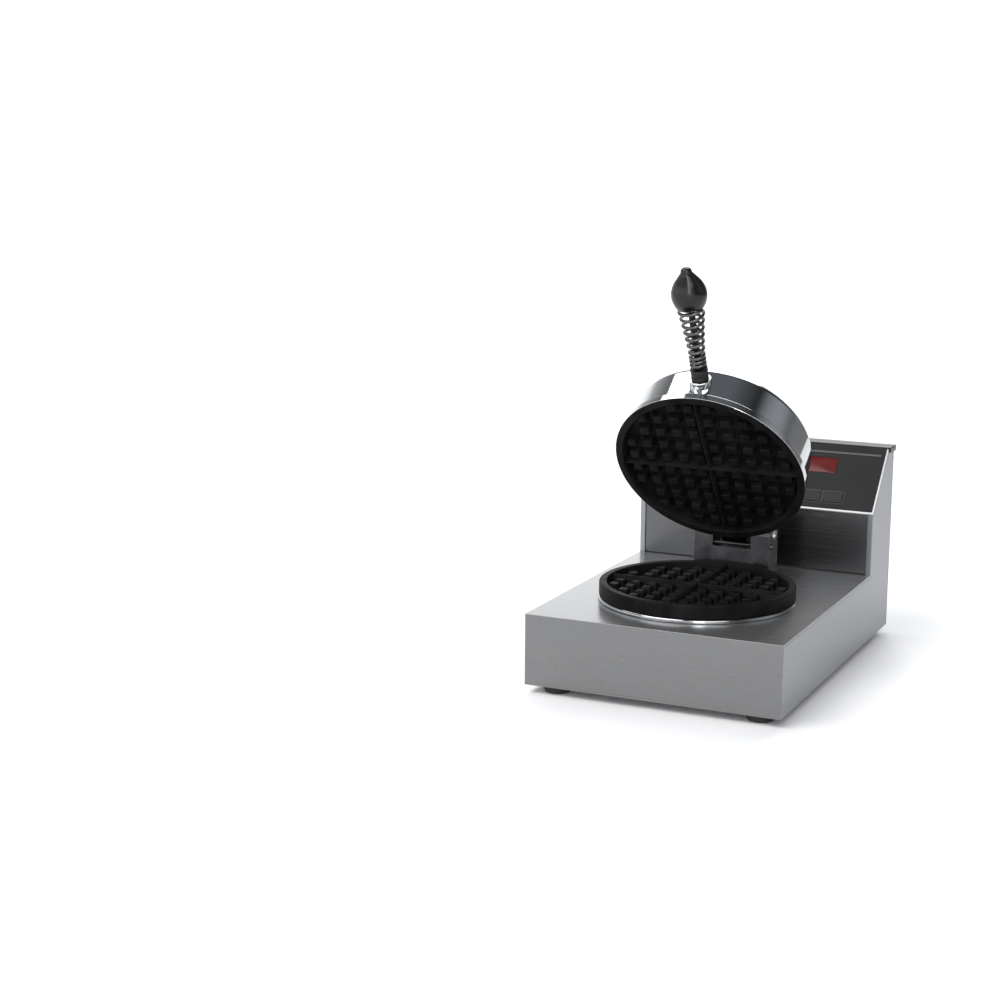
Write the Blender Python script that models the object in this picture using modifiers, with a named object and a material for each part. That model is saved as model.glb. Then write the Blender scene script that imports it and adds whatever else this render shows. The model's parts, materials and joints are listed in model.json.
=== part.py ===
"""A single round waffle baker.

A low sheet-metal cabinet has a sloping control console at the back and a cast lower grid in its deck.
A hinged drum lid holds the upper grid and stands open at rest.

Metres, +Z up, front towards -Y. The origin is under the middle of the whole object, where it stands.
Heights named for the cabinet are measured from its bottom edge, and those of the baking parts from the deck.
"""

import math

import bmesh
import bpy
from mathutils import Matrix, Vector

MM = 0.001

# Cabinet
WIDTH = 267 * MM
DEPTH = 395 * MM
DECK = 73.1 * MM
CONSOLE_FRONT = 315 * MM
SLOPE_FOOT = 141.3 * MM
SLOPE_HEAD = 373 * MM
CONSOLE_TOP = 204.8 * MM
SHEET = 1.2 * MM
GAP = 0.3 * MM
BEND = 1.6 * MM
FLANGE = 6 * MM
CAP_OVERHANG = 2 * MM
CAP_LIP = 6 * MM
GLAND_REACH = 12 * MM

# Feet
FOOT_HEIGHT = 9 * MM
FOOT_RADIUS = 14.5 * MM
FOOT_FROM_SIDE = 27 * MM
FOOT_FROM_FRONT = 21 * MM
FOOT_FROM_BACK = 24 * MM
SCREW_RADIUS = 2 * MM

# Control panel: X from the middle, and the distance up the slope from its foot
WINDOW = (61 * MM, 56.7 * MM)
WINDOW_SIZE = (41 * MM, 19.5 * MM)
KEY_ROW = 16 * MM
KEY_PITCH = 24.6 * MM
KEY_SIZE = (22.2 * MM, 13.6 * MM)
KEY_STANDS_OUT = 0.9 * MM
KEY_TRAVEL = 0.8 * MM
KEY_FLANGE = 1 * MM
SWITCH = (-97.5 * MM, 31 * MM)
SWITCH_BEZEL = (22 * MM, 37 * MM)
SWITCH_MOUTH = (16 * MM, 30.8 * MM)
ROCKER_TILT = math.radians(9)
ROCKER_HALF_LENGTH = 14 * MM
OVERLAY_THICKNESS = 0.5 * MM

# Baking grids
GRID_FROM_FRONT = 132.4 * MM
GRID_RADIUS = 100.7 * MM
FIELD_RADIUS = 88.6 * MM
LOWER_SPIGOT = 86 * MM
UPPER_SPIGOT = 91.5 * MM
GRID_DEPTH = 20 * MM
FLOOR_DEPTH = 12 * MM
STUD_DROP = 4 * MM
STUD_PITCH = 18 * MM
STUD_BASE = 13.2 * MM
STUD_TOP = 9.6 * MM
RIB_DROP = 1.2 * MM
RIB_BASE = 10 * MM
RIB_TOP = 1.6 * MM
LOWER_RIM = 18.6 * MM
UPPER_RIM = 19.1 * MM
LOWER_WALL = 14.1 * MM
UPPER_WALL = 7.9 * MM
UPPER_LIP = 1 * MM
UPPER_BODY_RADIUS = 99.1 * MM
DECK_HOLE_RADIUS = 92 * MM
TRIM_RADIUS = 101.8 * MM
TRIM_HEIGHT = 4.2 * MM

# Heating parts, the same above and below
HEATER_RING = 60 * MM
HEATER_TUBE = 4 * MM
HEATER_LEG = 27 * MM
LEG_HALF_ANGLE = math.radians(14)
PAD_RADIUS = 82 * MM
CLAMP_THICKNESS = 1.5 * MM
PAD_THICKNESS = 12 * MM
PROBE_RADIUS = 3 * MM
PROBE_LENGTH = 34 * MM

# Lid, measured closed
LID_OPEN = math.radians(54.1)
HINGE_FROM_FRONT = 254.5 * MM
HINGE_HEIGHT = 48.3 * MM
DRUM_RADIUS = 95.7 * MM
SKIRT_RADIUS = 100.6 * MM
SKIRT_FOOT = 20.4 * MM
DRUM_FOOT = 27.3 * MM
DRUM_SHOULDER = 9.7 * MM
DRUM_TOP = 76.5 * MM
DRUM_CROWN = 2.5 * MM

# Hinge
ARM_WIDTH = 27 * MM
ARM_BOTTOM = 76.9 * MM
ARM_TOP = 97.5 * MM
ARM_FRONT = 64 * MM
ARM_REAR = 77 * MM
YOKE_WIDTH = 79 * MM
ARM_BOLTS = (-48 * MM, 40 * MM)
ARM_SLOT = (12 * MM, 7 * MM)
ARM_SLOT_Y = -2 * MM
YOKE_BOTTOM = 19.7 * MM
YOKE_DEPTH = 20 * MM
BOSS_RADIUS = 12 * MM
PIN_RADIUS = 4 * MM
BUSHING_RADIUS = 6 * MM
BRACKET_WIDTH = 84.4 * MM
BRACKET_HALF_DEPTH = 14.5 * MM
BRACKET_WALL = 2.5 * MM
NOTCH_WIDTH = 42.4 * MM
NOTCH_HEIGHT = 33 * MM
TIE_ROD = (-9 * MM, -11.8 * MM)
TIE_ROD_RADIUS = 2 * MM

# Handle, measured from the drum's wall along its own axis
HANDLE_RISE = math.radians(12)
COLLAR_RADIUS = 11.5 * MM
COLLAR_END = 5 * MM
FERRULE_RADIUS = 9 * MM
FERRULE_END = 17 * MM
COIL_WIRE = 1.7 * MM
COIL_END = 87.5 * MM
KNOB_END = 129.5 * MM
STUD_RADIUS = 3.5 * MM

# Electrics and fittings
BOARD_DEPTH = -11.5 * MM
SWITCH_BODY = (19.6 * MM, 33 * MM)
ROCKER_AXIS = -1.5 * MM
BRACKET_SCREWS = (-31.7 * MM, 31.7 * MM)
BOLT_RADIUS = 3 * MM
BOLT_DEPTH = 11 * MM
GLAND = (-95 * MM, 30 * MM)
GLAND_THREAD = 7 * MM
VENT_ROWS = (110 * MM, 150 * MM)
VENTS_PER_ROW = 7
VENT_PITCH = 22 * MM
VENT_SIZE = (4 * MM, 26 * MM)
PAN_VENTS = 5
PAN_VENT_FROM_FRONT = 250 * MM
PAN_VENT_PITCH = 14 * MM
PAN_VENT_SIZE = (60 * MM, 4 * MM)
TRANSFORMER = (-70 * MM, 330 * MM)
RELAY = (30 * MM, 340 * MM)
TERMINALS = (85 * MM, 290 * MM)

# How finely round shapes are divided
LARGE = 48
MEDIUM = 20
SMALL = 10
PAD_SIDES = 30

FRONT_Y = -(DEPTH + GLAND_REACH) / 2
DECK_Z = FOOT_HEIGHT + DECK
HALF = WIDTH / 2
GRID_Y = FRONT_Y + GRID_FROM_FRONT
GRID_REACH = HINGE_FROM_FRONT - GRID_FROM_FRONT
HINGE = Vector((0, FRONT_Y + HINGE_FROM_FRONT, DECK_Z + HINGE_HEIGHT))
SLOPE = Vector((0, SLOPE_HEAD - CONSOLE_FRONT, CONSOLE_TOP - SLOPE_FOOT)).normalized()
SLOPE_OUT = Vector((0, -SLOPE.z, SLOPE.y))
SLOPE_START = Vector((0, FRONT_Y + CONSOLE_FRONT, FOOT_HEIGHT + SLOPE_FOOT))
SIDEWAYS = Matrix((Vector((0, 1, 0)), Vector((0, 0, 1)), Vector((1, 0, 0)))).transposed().to_4x4()
UNDER_SHEET = SHEET + GAP
PANEL_TOP = GAP + OVERLAY_THICKNESS
KEY_FLANGE_BACK = -UNDER_SHEET - KEY_FLANGE
FEET = {
    "front_left": (-HALF + FOOT_FROM_SIDE, FOOT_FROM_FRONT),
    "front_right": (HALF - FOOT_FROM_SIDE, FOOT_FROM_FRONT),
    "rear_left": (-HALF + FOOT_FROM_SIDE, DEPTH - FOOT_FROM_BACK),
    "rear_right": (HALF - FOOT_FROM_SIDE, DEPTH - FOOT_FROM_BACK),
}
KEYS = {
    "key_left": WINDOW[0] - KEY_PITCH,
    "key_middle": WINDOW[0],
    "key_right": WINDOW[0] + KEY_PITCH,
}

for old in list(bpy.data.objects):
    bpy.data.objects.remove(old)

parts = bpy.data.collections.new("waffle_baker")
cutters = bpy.data.collections.new("cutters")
bpy.context.scene.collection.children.link(parts)
bpy.context.scene.collection.children.link(cutters)


# ---------------------------------------------------------------- finishes
def finish(name, colour, roughness, metallic):
    made = bpy.data.materials.new(name)
    made.use_nodes = True
    shader = made.node_tree.nodes["Principled BSDF"]
    shader.inputs["Base Color"].default_value = (*colour, 1)
    shader.inputs["Roughness"].default_value = roughness
    shader.inputs["Metallic"].default_value = metallic
    return made


BRUSHED = finish("brushed_steel", (0.52, 0.53, 0.54), 0.32, 1)
POLISHED = finish("polished_steel", (0.68, 0.69, 0.70), 0.1, 1)
BRACKET_STEEL = finish("bracket_steel", (0.30, 0.30, 0.32), 0.4, 1)
ZINC = finish("zinc_screws", (0.55, 0.55, 0.53), 0.35, 1)
ALUMINIUM = finish("cast_aluminium", (0.62, 0.63, 0.64), 0.45, 1)
GRID_BLACK = finish("grid_black", (0.02, 0.02, 0.021), 0.35, 0.3)
RUBBER = finish("rubber", (0.015, 0.015, 0.015), 0.8, 0)
PANEL_BLACK = finish("panel_black", (0.03, 0.032, 0.035), 0.4, 0)
KEY_GREY = finish("key_grey", (0.05, 0.052, 0.055), 0.45, 0)
RED_LENS = finish("red_lens", (0.18, 0.03, 0.03), 0.25, 0)
BLACK_PLASTIC = finish("black_plastic", (0.02, 0.02, 0.02), 0.35, 0)
KNOB_BLACK = finish("knob_black", (0.03, 0.03, 0.032), 0.25, 0)
SPRING_STEEL = finish("spring_steel", (0.35, 0.34, 0.33), 0.3, 1)
BOARD_GREEN = finish("board_green", (0.02, 0.12, 0.05), 0.5, 0)
CERAMIC_FIBRE = finish("ceramic_fibre", (0.8, 0.78, 0.72), 0.9, 0)
HEATER_SHEATH = finish("heater_sheath", (0.25, 0.23, 0.2), 0.5, 1)
BRONZE = finish("bronze", (0.45, 0.3, 0.14), 0.35, 1)


# ---------------------------------------------------------------- helpers
def place(x, back, up):
    """A point from the middle, the front face and the cabinet's bottom edge."""
    return Vector((x, FRONT_Y + back, FOOT_HEIGHT + up))


def on_panel(x, up_slope, out=0.0):
    """A point on the sloping panel's face."""
    return SLOPE_START + Vector((x, 0, 0)) + SLOPE * up_slope + SLOPE_OUT * out


def panel_frame(x, up_slope, out=0.0):
    """X across, Y up the slope and Z out of the panel, at a point on its face."""
    columns = Matrix((Vector((1, 0, 0)), SLOPE, SLOPE_OUT)).transposed()
    return Matrix.Translation(on_panel(x, up_slope, out)) @ columns.to_4x4()


def side_frame(x, y=0.0, z=0.0):
    """Local X runs along world Y, local Y along Z and local Z along X, for outlines seen from the side."""
    columns = Matrix((Vector((0, 1, 0)), Vector((0, 0, 1)), Vector((1, 0, 0)))).transposed()
    return Matrix.Translation((x, y, z)) @ columns.to_4x4()


def add(name, mesh, material, parent=None, frame=None):
    """Puts a mesh in the scene as a part, or as a cutter where it has no material."""
    made = bpy.data.objects.new(name, mesh)
    if material:
        mesh.materials.append(material)
        parts.objects.link(made)
    else:
        cutters.objects.link(made)
        made.hide_render = True
        made.display_type = "WIRE"
    made.parent = parent
    made.matrix_local = frame or Matrix.Identity(4)
    return made


def mesh_from(name, bm):
    mesh = bpy.data.meshes.new(name)
    bmesh.ops.recalc_face_normals(bm, faces=bm.faces)
    bm.to_mesh(mesh)
    bm.free()
    return mesh


def smooth(made, angle=30):
    made.data.shade_smooth()
    made.data.set_sharp_from_angle(angle=math.radians(angle))
    return made


def block(name, size, centre, material, parent=None, frame=None, bevel=0.0):
    """A box of this size, centred on a point of its frame."""
    bm = bmesh.new()
    bmesh.ops.create_cube(bm, size=1, matrix=Matrix.Translation(centre) @ Matrix.Diagonal((*size, 1)))
    made = add(name, mesh_from(name, bm), material, parent, frame)
    if bevel:
        edges = made.modifiers.new("edges", "BEVEL")
        edges.width = bevel
        edges.segments = 1
    return made


def rod(name, radius, start, end, material, parent=None, frame=None, sides=SMALL, end_radius=None):
    """A cylinder, cone or prism between two points of its frame."""
    start, end = Vector(start), Vector(end)
    along = end - start
    turn = along.to_track_quat("Z", "Y").to_matrix().to_4x4()
    bm = bmesh.new()
    bmesh.ops.create_cone(
        bm,
        cap_ends=True,
        segments=sides,
        radius1=radius,
        radius2=radius if end_radius is None else end_radius,
        depth=along.length,
        matrix=Matrix.Translation((start + end) / 2) @ turn,
    )
    return smooth(add(name, mesh_from(name, bm), material, parent, frame))


def turned(name, profile, material, parent=None, frame=None, sides=LARGE, closed=False):
    """A profile of (radius, height) points, from the top down its outer side, turned about Z."""
    mesh = bpy.data.meshes.new(name)
    count = len(profile)
    edges = [(i, i + 1) for i in range(count - 1)]
    if closed:
        edges.append((count - 1, 0))
    mesh.from_pydata([(radius, 0, height) for radius, height in profile], edges, [])
    made = add(name, mesh, material, parent, frame)
    screw = made.modifiers.new("turn", "SCREW")
    screw.steps = sides
    screw.render_steps = sides
    screw.use_merge_vertices = True
    screw.merge_threshold = 0.00001
    screw.use_smooth_shade = True
    return made


def solid(name, curve):
    """A curve's filled or bevelled shape as one welded mesh."""
    guide = bpy.data.objects.new(name + "_guide", curve)
    cutters.objects.link(guide)
    graph = bpy.context.evaluated_depsgraph_get()
    mesh = bpy.data.meshes.new_from_object(guide.evaluated_get(graph))
    bpy.data.objects.remove(guide)
    bm = bmesh.new()
    bm.from_mesh(mesh)
    bmesh.ops.remove_doubles(bm, verts=bm.verts, dist=0.000001)
    bmesh.ops.recalc_face_normals(bm, faces=bm.faces)
    bm.to_mesh(mesh)
    bm.free()
    return mesh


def plate(name, outline, thickness, material, parent=None, frame=None):
    """A flat outline in its frame's XY plane, as thick to each side of it as to the other."""
    curve = bpy.data.curves.new(name, "CURVE")
    curve.dimensions = "2D"
    curve.fill_mode = "BOTH"
    curve.extrude = thickness / 2
    spline = curve.splines.new("POLY")
    spline.points.add(len(outline) - 1)
    for point, (x, y) in zip(spline.points, outline):
        point.co = (x, y, 0, 1)
    spline.use_cyclic_u = True
    return add(name, solid(name, curve), material, parent, frame)


def tube(name, points, radius, material, parent=None, frame=None):
    """A round bar along a line of points."""
    curve = bpy.data.curves.new(name, "CURVE")
    curve.dimensions = "3D"
    curve.bevel_depth = radius
    curve.bevel_resolution = 2
    curve.use_fill_caps = True
    spline = curve.splines.new("POLY")
    spline.points.add(len(points) - 1)
    for point, spot in zip(spline.points, points):
        point.co = (*spot, 1)
    return smooth(add(name, solid(name, curve), material, parent, frame))


def rounded(path, radius, steps=3):
    """An open path with each of its corners turned into an arc."""
    made = [Vector(path[0])]
    for before, corner, after in zip(path, path[1:], path[2:]):
        corner = Vector(corner)
        back = (Vector(before) - corner).normalized()
        onward = (Vector(after) - corner).normalized()
        half_angle = back.angle(onward) / 2
        centre = corner + (back + onward).normalized() * radius / math.sin(half_angle)
        first = corner + back * radius / math.tan(half_angle) - centre
        turn = first.angle_signed(corner + onward * radius / math.tan(half_angle) - centre)
        for i in range(steps + 1):
            made.append(centre + Matrix.Rotation(-turn * i / steps, 2) @ first)
    made.append(Vector(path[-1]))
    return made


def bent_sheet(name, path, half_width, material, across=None):
    """A sheet bent along its outer face, a path of (Y, Z) points with the inside to the right of it."""
    points = rounded(path, BEND)
    bm = bmesh.new()
    rows = [[bm.verts.new((x, p.x, p.y)) for p in points] for x in (-half_width, half_width)]
    for i in range(len(points) - 1):
        bm.faces.new((rows[0][i], rows[0][i + 1], rows[1][i + 1], rows[1][i]))
    mesh = bpy.data.meshes.new(name)
    bm.to_mesh(mesh)
    bm.free()
    made = add(name, mesh, material, frame=across)
    thicken = made.modifiers.new("thickness", "SOLIDIFY")
    thicken.thickness = SHEET
    thicken.offset = 1
    thicken.use_even_offset = True
    return made


def boolean(made, operation, others):
    for other in others:
        step = made.modifiers.new(operation.lower(), "BOOLEAN")
        step.operation = operation
        step.object = other
        step.solver = "EXACT"
    return made


def cut(made, *others):
    return boolean(made, "DIFFERENCE", others)


def join(made, *others):
    return boolean(made, "UNION", others)


def arc(centre, radius, start, end, steps):
    """Points of an arc, with its angles in degrees."""
    angles = [math.radians(start + (end - start) * i / steps) for i in range(steps + 1)]
    return [(centre[0] + radius * math.cos(a), centre[1] + radius * math.sin(a)) for a in angles]


def inset(outline, distance):
    """A clockwise outline with every side moved inwards."""
    made = []
    for i, corner in enumerate(outline):
        corner = Vector(corner)
        before = (corner - Vector(outline[i - 1])).normalized()
        after = (Vector(outline[(i + 1) % len(outline)]) - corner).normalized()
        first = Vector((before.y, -before.x))
        second = Vector((after.y, -after.x))
        made.append(corner + (first + second) * distance / (1 + first.dot(second)))
    return made


def hex_nut(name, radius, bore, low, high, material, parent=None, frame=None):
    """A six-sided nut between two heights of its frame."""
    nut = rod(name, radius, (0, 0, low), (0, 0, high), material, parent, frame, sides=6)
    hole = rod(name + "_bore", bore, (0, 0, low - FLANGE), (0, 0, high + FLANGE), None, parent, frame, MEDIUM)
    return cut(nut, hole)


# ---------------------------------------------------------------- cabinet
def slope_at(depth_below, height=None, back=None):
    """Where a line this far below the sloping face meets a height or a distance from the front."""
    start = Vector((CONSOLE_FRONT, SLOPE_FOOT)) - Vector((SLOPE_OUT.y, SLOPE_OUT.z)) * depth_below
    if height is not None:
        return start.x + (height - start.y) * SLOPE.y / SLOPE.z
    return start.y + (back - start.x) * SLOPE.z / SLOPE.y


def side_clearances(name):
    """Cutters that free a wrapped sheet from both side panels."""
    reach = 20 * MM
    outline = inset(side_outline(), -0.8 * GAP)
    made = []
    for side, word in ((-1, "left"), (1, "right")):
        middle = side * (HALF - FLANGE - GAP + reach / 2)
        made.append(plate(f"{name}_{word}", outline, reach, None, frame=side_frame(middle)))
    return made


def make_deck():
    path = [(FLANGE, 0), (0, 0), (0, DECK), (CONSOLE_FRONT + 2 * FLANGE, DECK)]
    deck = bent_sheet("deck_and_apron", cabinet_path(path), HALF, BRUSHED)
    low, high = DECK_Z - FLANGE, DECK_Z + FLANGE
    opening = rod("deck_opening", DECK_HOLE_RADIUS, (0, GRID_Y, low), (0, GRID_Y, high), None, sides=LARGE)
    cut(deck, opening, *side_clearances("deck_end"))
    for x in BRACKET_SCREWS:
        cut(deck, rod("bracket_screw_hole", SCREW_RADIUS + GAP, (x, HINGE.y, low), (x, HINGE.y, high), None))


def cabinet_path(points):
    """(Distance from the front, height) points as (Y, Z)."""
    return [(FRONT_Y + back, FOOT_HEIGHT + up) for back, up in points]


def side_outline():
    """The side panel seen from the right, clockwise from its lower front corner, as (Y, Z)."""
    under = SHEET + GAP
    roof = CONSOLE_TOP - 2 * under
    return cabinet_path([
        (under, 0),
        (under, DECK - under),
        (CONSOLE_FRONT, DECK - under),
        (CONSOLE_FRONT, slope_at(under, back=CONSOLE_FRONT)),
        (slope_at(under, height=roof), roof),
        (DEPTH - under, roof),
        (DEPTH - under, 0),
    ])


def make_side(name, side):
    """A tray whose flanges turn inwards all round."""
    outline = side_outline()
    outer = plate(name, outline, FLANGE, BRUSHED, frame=side_frame(side * (HALF - FLANGE / 2)))
    hollow = plate(name + "_hollow", inset(outline, SHEET), FLANGE, None,
                   frame=side_frame(side * (HALF - SHEET - FLANGE / 2)))
    cut(outer, hollow)


def make_backsplash():
    foot = DECK + GAP
    back = CONSOLE_FRONT + SHEET + GAP
    head = SLOPE_FOOT - 2 * SHEET - GAP
    path = [(back + FLANGE, foot), (back, foot), (back, head)]
    bent_sheet("backsplash", cabinet_path(path), HALF - SHEET - GAP, BRUSHED)


def make_control_panel():
    """The sloping sheet, with a return at its foot and a flat top that rests on the rear cover."""
    foot = SLOPE_FOOT - 2 * SHEET
    head = CONSOLE_TOP - SHEET - GAP
    path = [
        (CONSOLE_FRONT + 2 * FLANGE, foot),
        (slope_at(0, height=foot), foot),
        (slope_at(0, height=head), head),
        (DEPTH, head),
    ]
    panel = bent_sheet("control_panel", cabinet_path(path), HALF, BRUSHED)
    cut(panel, *side_clearances("panel_end"), *panel_cutters("panel"))


def panel_cutters(name):
    """Cutters for the window, the keys and the switch, through the sheet and the overlay."""
    clear = 0.35 * MM
    deep = 8 * MM
    openings = [("window", WINDOW_SIZE, WINDOW), ("switch", SWITCH_BODY, SWITCH)]
    openings += [(word, KEY_SIZE, (x, KEY_ROW)) for word, x in KEYS.items()]
    made = []
    for word, (width, height), spot in openings:
        size = (width + 2 * clear, height + 2 * clear, deep)
        made.append(block(f"{name}_{word}_hole", size, (0, 0, 0), None, frame=panel_frame(*spot)))
    return made


def make_top_cap():
    """A shallow channel over the console's flat top, lipped down past both sides."""
    edge = HALF + CAP_OVERHANG
    lip = CONSOLE_TOP - CAP_LIP
    path = [(-edge, lip), (-edge, CONSOLE_TOP), (edge, CONSOLE_TOP), (edge, lip)]
    front = SLOPE_HEAD
    back = DEPTH + CAP_OVERHANG
    quarter_turn = Matrix.Rotation(math.radians(-90), 4, "Z")
    across = Matrix.Translation(place(0, (front + back) / 2, 0)) @ quarter_turn
    bent_sheet("top_cap", path, (back - front) / 2, BRUSHED, across)


def make_rear_cover():
    path = [(DEPTH, CONSOLE_TOP - 2 * UNDER_SHEET), (DEPTH, 0), (DEPTH - FLANGE, 0)]
    cover = bent_sheet("rear_cover", cabinet_path(path), HALF, BRUSHED)
    cut(cover, *side_clearances("cover_end"))
    for row, up in enumerate(VENT_ROWS):
        for i in range(VENTS_PER_ROW):
            x = (i - (VENTS_PER_ROW - 1) / 2) * VENT_PITCH
            size = (VENT_SIZE[0], FLANGE, VENT_SIZE[1])
            cut(cover, block(f"rear_vent_{row}_{i}", size, place(x, DEPTH, up), None))
    x, up = GLAND
    inside, outside = place(x, DEPTH - FLANGE, up), place(x, DEPTH + FLANGE, up)
    cut(cover, rod("gland_hole", GLAND_THREAD + GAP, inside, outside, None, sides=MEDIUM))


def make_bottom_pan():
    size = (WIDTH - 2 * UNDER_SHEET, DEPTH - 4 * UNDER_SHEET, SHEET)
    pan = block("bottom_pan", size, place(0, DEPTH / 2, UNDER_SHEET + SHEET / 2), BRUSHED)
    for word, (x, back) in FEET.items():
        below, above = place(x, back, -FLANGE), place(x, back, FLANGE)
        cut(pan, rod(f"{word}_pan_hole", SCREW_RADIUS + GAP, below, above, None))
    for i in range(PAN_VENTS):
        back = PAN_VENT_FROM_FRONT + i * PAN_VENT_PITCH
        cut(pan, block(f"pan_vent_{i}", (*PAN_VENT_SIZE, FLANGE), place(0, back, UNDER_SHEET), None))


def make_foot(word, x, back):
    """A rubber foot, recessed from below for the head of the screw that holds it."""
    head = 3.9 * MM
    top = SHEET
    bottom = -FOOT_HEIGHT
    profile = [
        (SCREW_RADIUS + GAP, top),
        (FOOT_RADIUS, top),
        (FOOT_RADIUS, -2 * MM),
        (FOOT_RADIUS - 1.6 * MM, bottom + 1 * MM),
        (FOOT_RADIUS - 2.6 * MM, bottom),
        (head + 1 * MM, bottom),
        (head + 1 * MM, bottom + 5 * MM),
        (SCREW_RADIUS + GAP, bottom + 5 * MM),
    ]
    frame = Matrix.Translation(place(x, back, 0))
    turned(f"foot_{word}", profile, RUBBER, frame=frame, sides=MEDIUM, closed=True)
    seat = bottom + 5 * MM - GAP
    profile = [
        (0, 9 * MM),
        (SCREW_RADIUS, 9 * MM),
        (SCREW_RADIUS, seat),
        (head, seat),
        (head, seat - 1.6 * MM),
        (head - 1.2 * MM, seat - 2.4 * MM),
        (0, seat - 2.4 * MM),
    ]
    turned(f"foot_screw_{word}", profile, ZINC, frame=frame, sides=SMALL)


def make_gland():
    """The empty cable gland in the rear cover, and its nut inside."""
    x, up = GLAND
    bore = 4.2 * MM
    to_back = Matrix.Rotation(math.radians(-90), 4, "X")
    frame = Matrix.Translation(place(x, DEPTH, up)) @ to_back
    reach = GLAND_REACH
    profile = [
        (bore, reach),
        (6.2 * MM, reach),
        (8 * MM, reach - 2.5 * MM),
        (8.4 * MM, 5 * MM),
        (10.5 * MM, 5 * MM),
        (10.5 * MM, GAP),
        (GLAND_THREAD, GAP),
        (GLAND_THREAD, -9 * MM),
        (bore, -9 * MM),
    ]
    turned("cord_gland", profile, BLACK_PLASTIC, frame=frame, sides=MEDIUM, closed=True)
    inner = -SHEET - GAP
    hex_nut("gland_nut", 11 * MM, GLAND_THREAD + GAP, inner - 4 * MM, inner, BLACK_PLASTIC, frame=frame)


# ---------------------------------------------------------------- controls
def make_overlay():
    length = (Vector((SLOPE_HEAD, CONSOLE_TOP)) - Vector((CONSOLE_FRONT, SLOPE_FOOT))).length
    size = (WIDTH - 3.6 * MM, length - 3.5 * MM, OVERLAY_THICKNESS)
    centre = (0, length / 2, GAP + OVERLAY_THICKNESS / 2)
    overlay = block("control_overlay", size, centre, PANEL_BLACK, frame=panel_frame(0, 0))
    cut(overlay, *panel_cutters("overlay"))


def make_window_and_board():
    face = GAP + OVERLAY_THICKNESS
    thickness = 2 * MM
    block("display_window", (*WINDOW_SIZE, thickness), (0, 0, face - thickness / 2), RED_LENS,
          frame=panel_frame(*WINDOW))
    module = 8 * MM
    block("display_module", (WINDOW_SIZE[0] - 1 * MM, WINDOW_SIZE[1] - 1 * MM, module),
          (0, 0, face - thickness - GAP - module / 2), BLACK_PLASTIC, frame=panel_frame(*WINDOW))
    board = block("control_board", (92 * MM, 68 * MM, 1.6 * MM), (0, 0, BOARD_DEPTH - 0.8 * MM), BOARD_GREEN,
                  frame=panel_frame(WINDOW[0], 36 * MM))
    for word, x in KEYS.items():
        stem_top = KEY_FLANGE_BACK - KEY_TRAVEL - 0.3 * MM
        height = stem_top - BOARD_DEPTH + 0.5 * MM
        join(board, block(f"{word}_contact", (6 * MM, 6 * MM, height), (0, 0, stem_top - height / 2), None,
                          frame=panel_frame(x, KEY_ROW)))


def make_key(word, x):
    """A key cap with a flange behind the sheet that keeps it in its hole."""
    frame = panel_frame(x, KEY_ROW)
    top = PANEL_TOP + KEY_STANDS_OUT
    cap_height = top - KEY_FLANGE_BACK
    key = block(word, (*KEY_SIZE, cap_height), (0, 0, top - cap_height / 2), KEY_GREY, frame=frame)
    flange = (KEY_SIZE[0] + 1.6 * MM, KEY_SIZE[1] + 3 * MM, KEY_FLANGE)
    join(key, block(f"{word}_flange", flange, (0, 0, KEY_FLANGE_BACK + KEY_FLANGE / 2), None, frame=frame))


def make_switch():
    """The switch's housing with its bezel, and the rocker, tilted to one side at rest."""
    frame = panel_frame(*SWITCH)
    bezel_thickness = 2.2 * MM
    body_depth = 21 * MM
    mouth_depth = 9 * MM
    base = PANEL_TOP + GAP
    above = 3 * MM
    housing = block("switch_housing", (*SWITCH_BEZEL, bezel_thickness), (0, 0, base + bezel_thickness / 2),
                    BLACK_PLASTIC, frame=frame, bevel=0.6 * MM)
    body_middle = base + 0.5 * MM - body_depth / 2
    join(housing, block("switch_body", (*SWITCH_BODY, body_depth), (0, 0, body_middle), None, frame=frame))
    mouth_size = (*SWITCH_MOUTH, mouth_depth + above)
    mouth_middle = base + (above - mouth_depth) / 2
    cut(housing, block("switch_mouth", mouth_size, (0, 0, mouth_middle), None, frame=frame))
    half = ROCKER_HALF_LENGTH
    tip = 5.8 * MM
    hollow = 4.1 * MM
    underside = -3.4 * MM
    outline = [
        (-half, tip),
        (-half * 0.5, hollow + 0.5 * MM),
        (0, hollow),
        (half * 0.5, hollow + 0.5 * MM),
        (half, tip),
        (half, 3 * MM),
        (half * 0.62, underside),
        (-half * 0.62, underside),
        (-half, 3 * MM),
    ]
    tilted = panel_frame(*SWITCH, ROCKER_AXIS) @ Matrix.Rotation(ROCKER_TILT, 4, "X")
    plate("switch_rocker", outline, SWITCH_MOUTH[0] - 1 * MM, BLACK_PLASTIC, frame=tilted @ SIDEWAYS)


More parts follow.
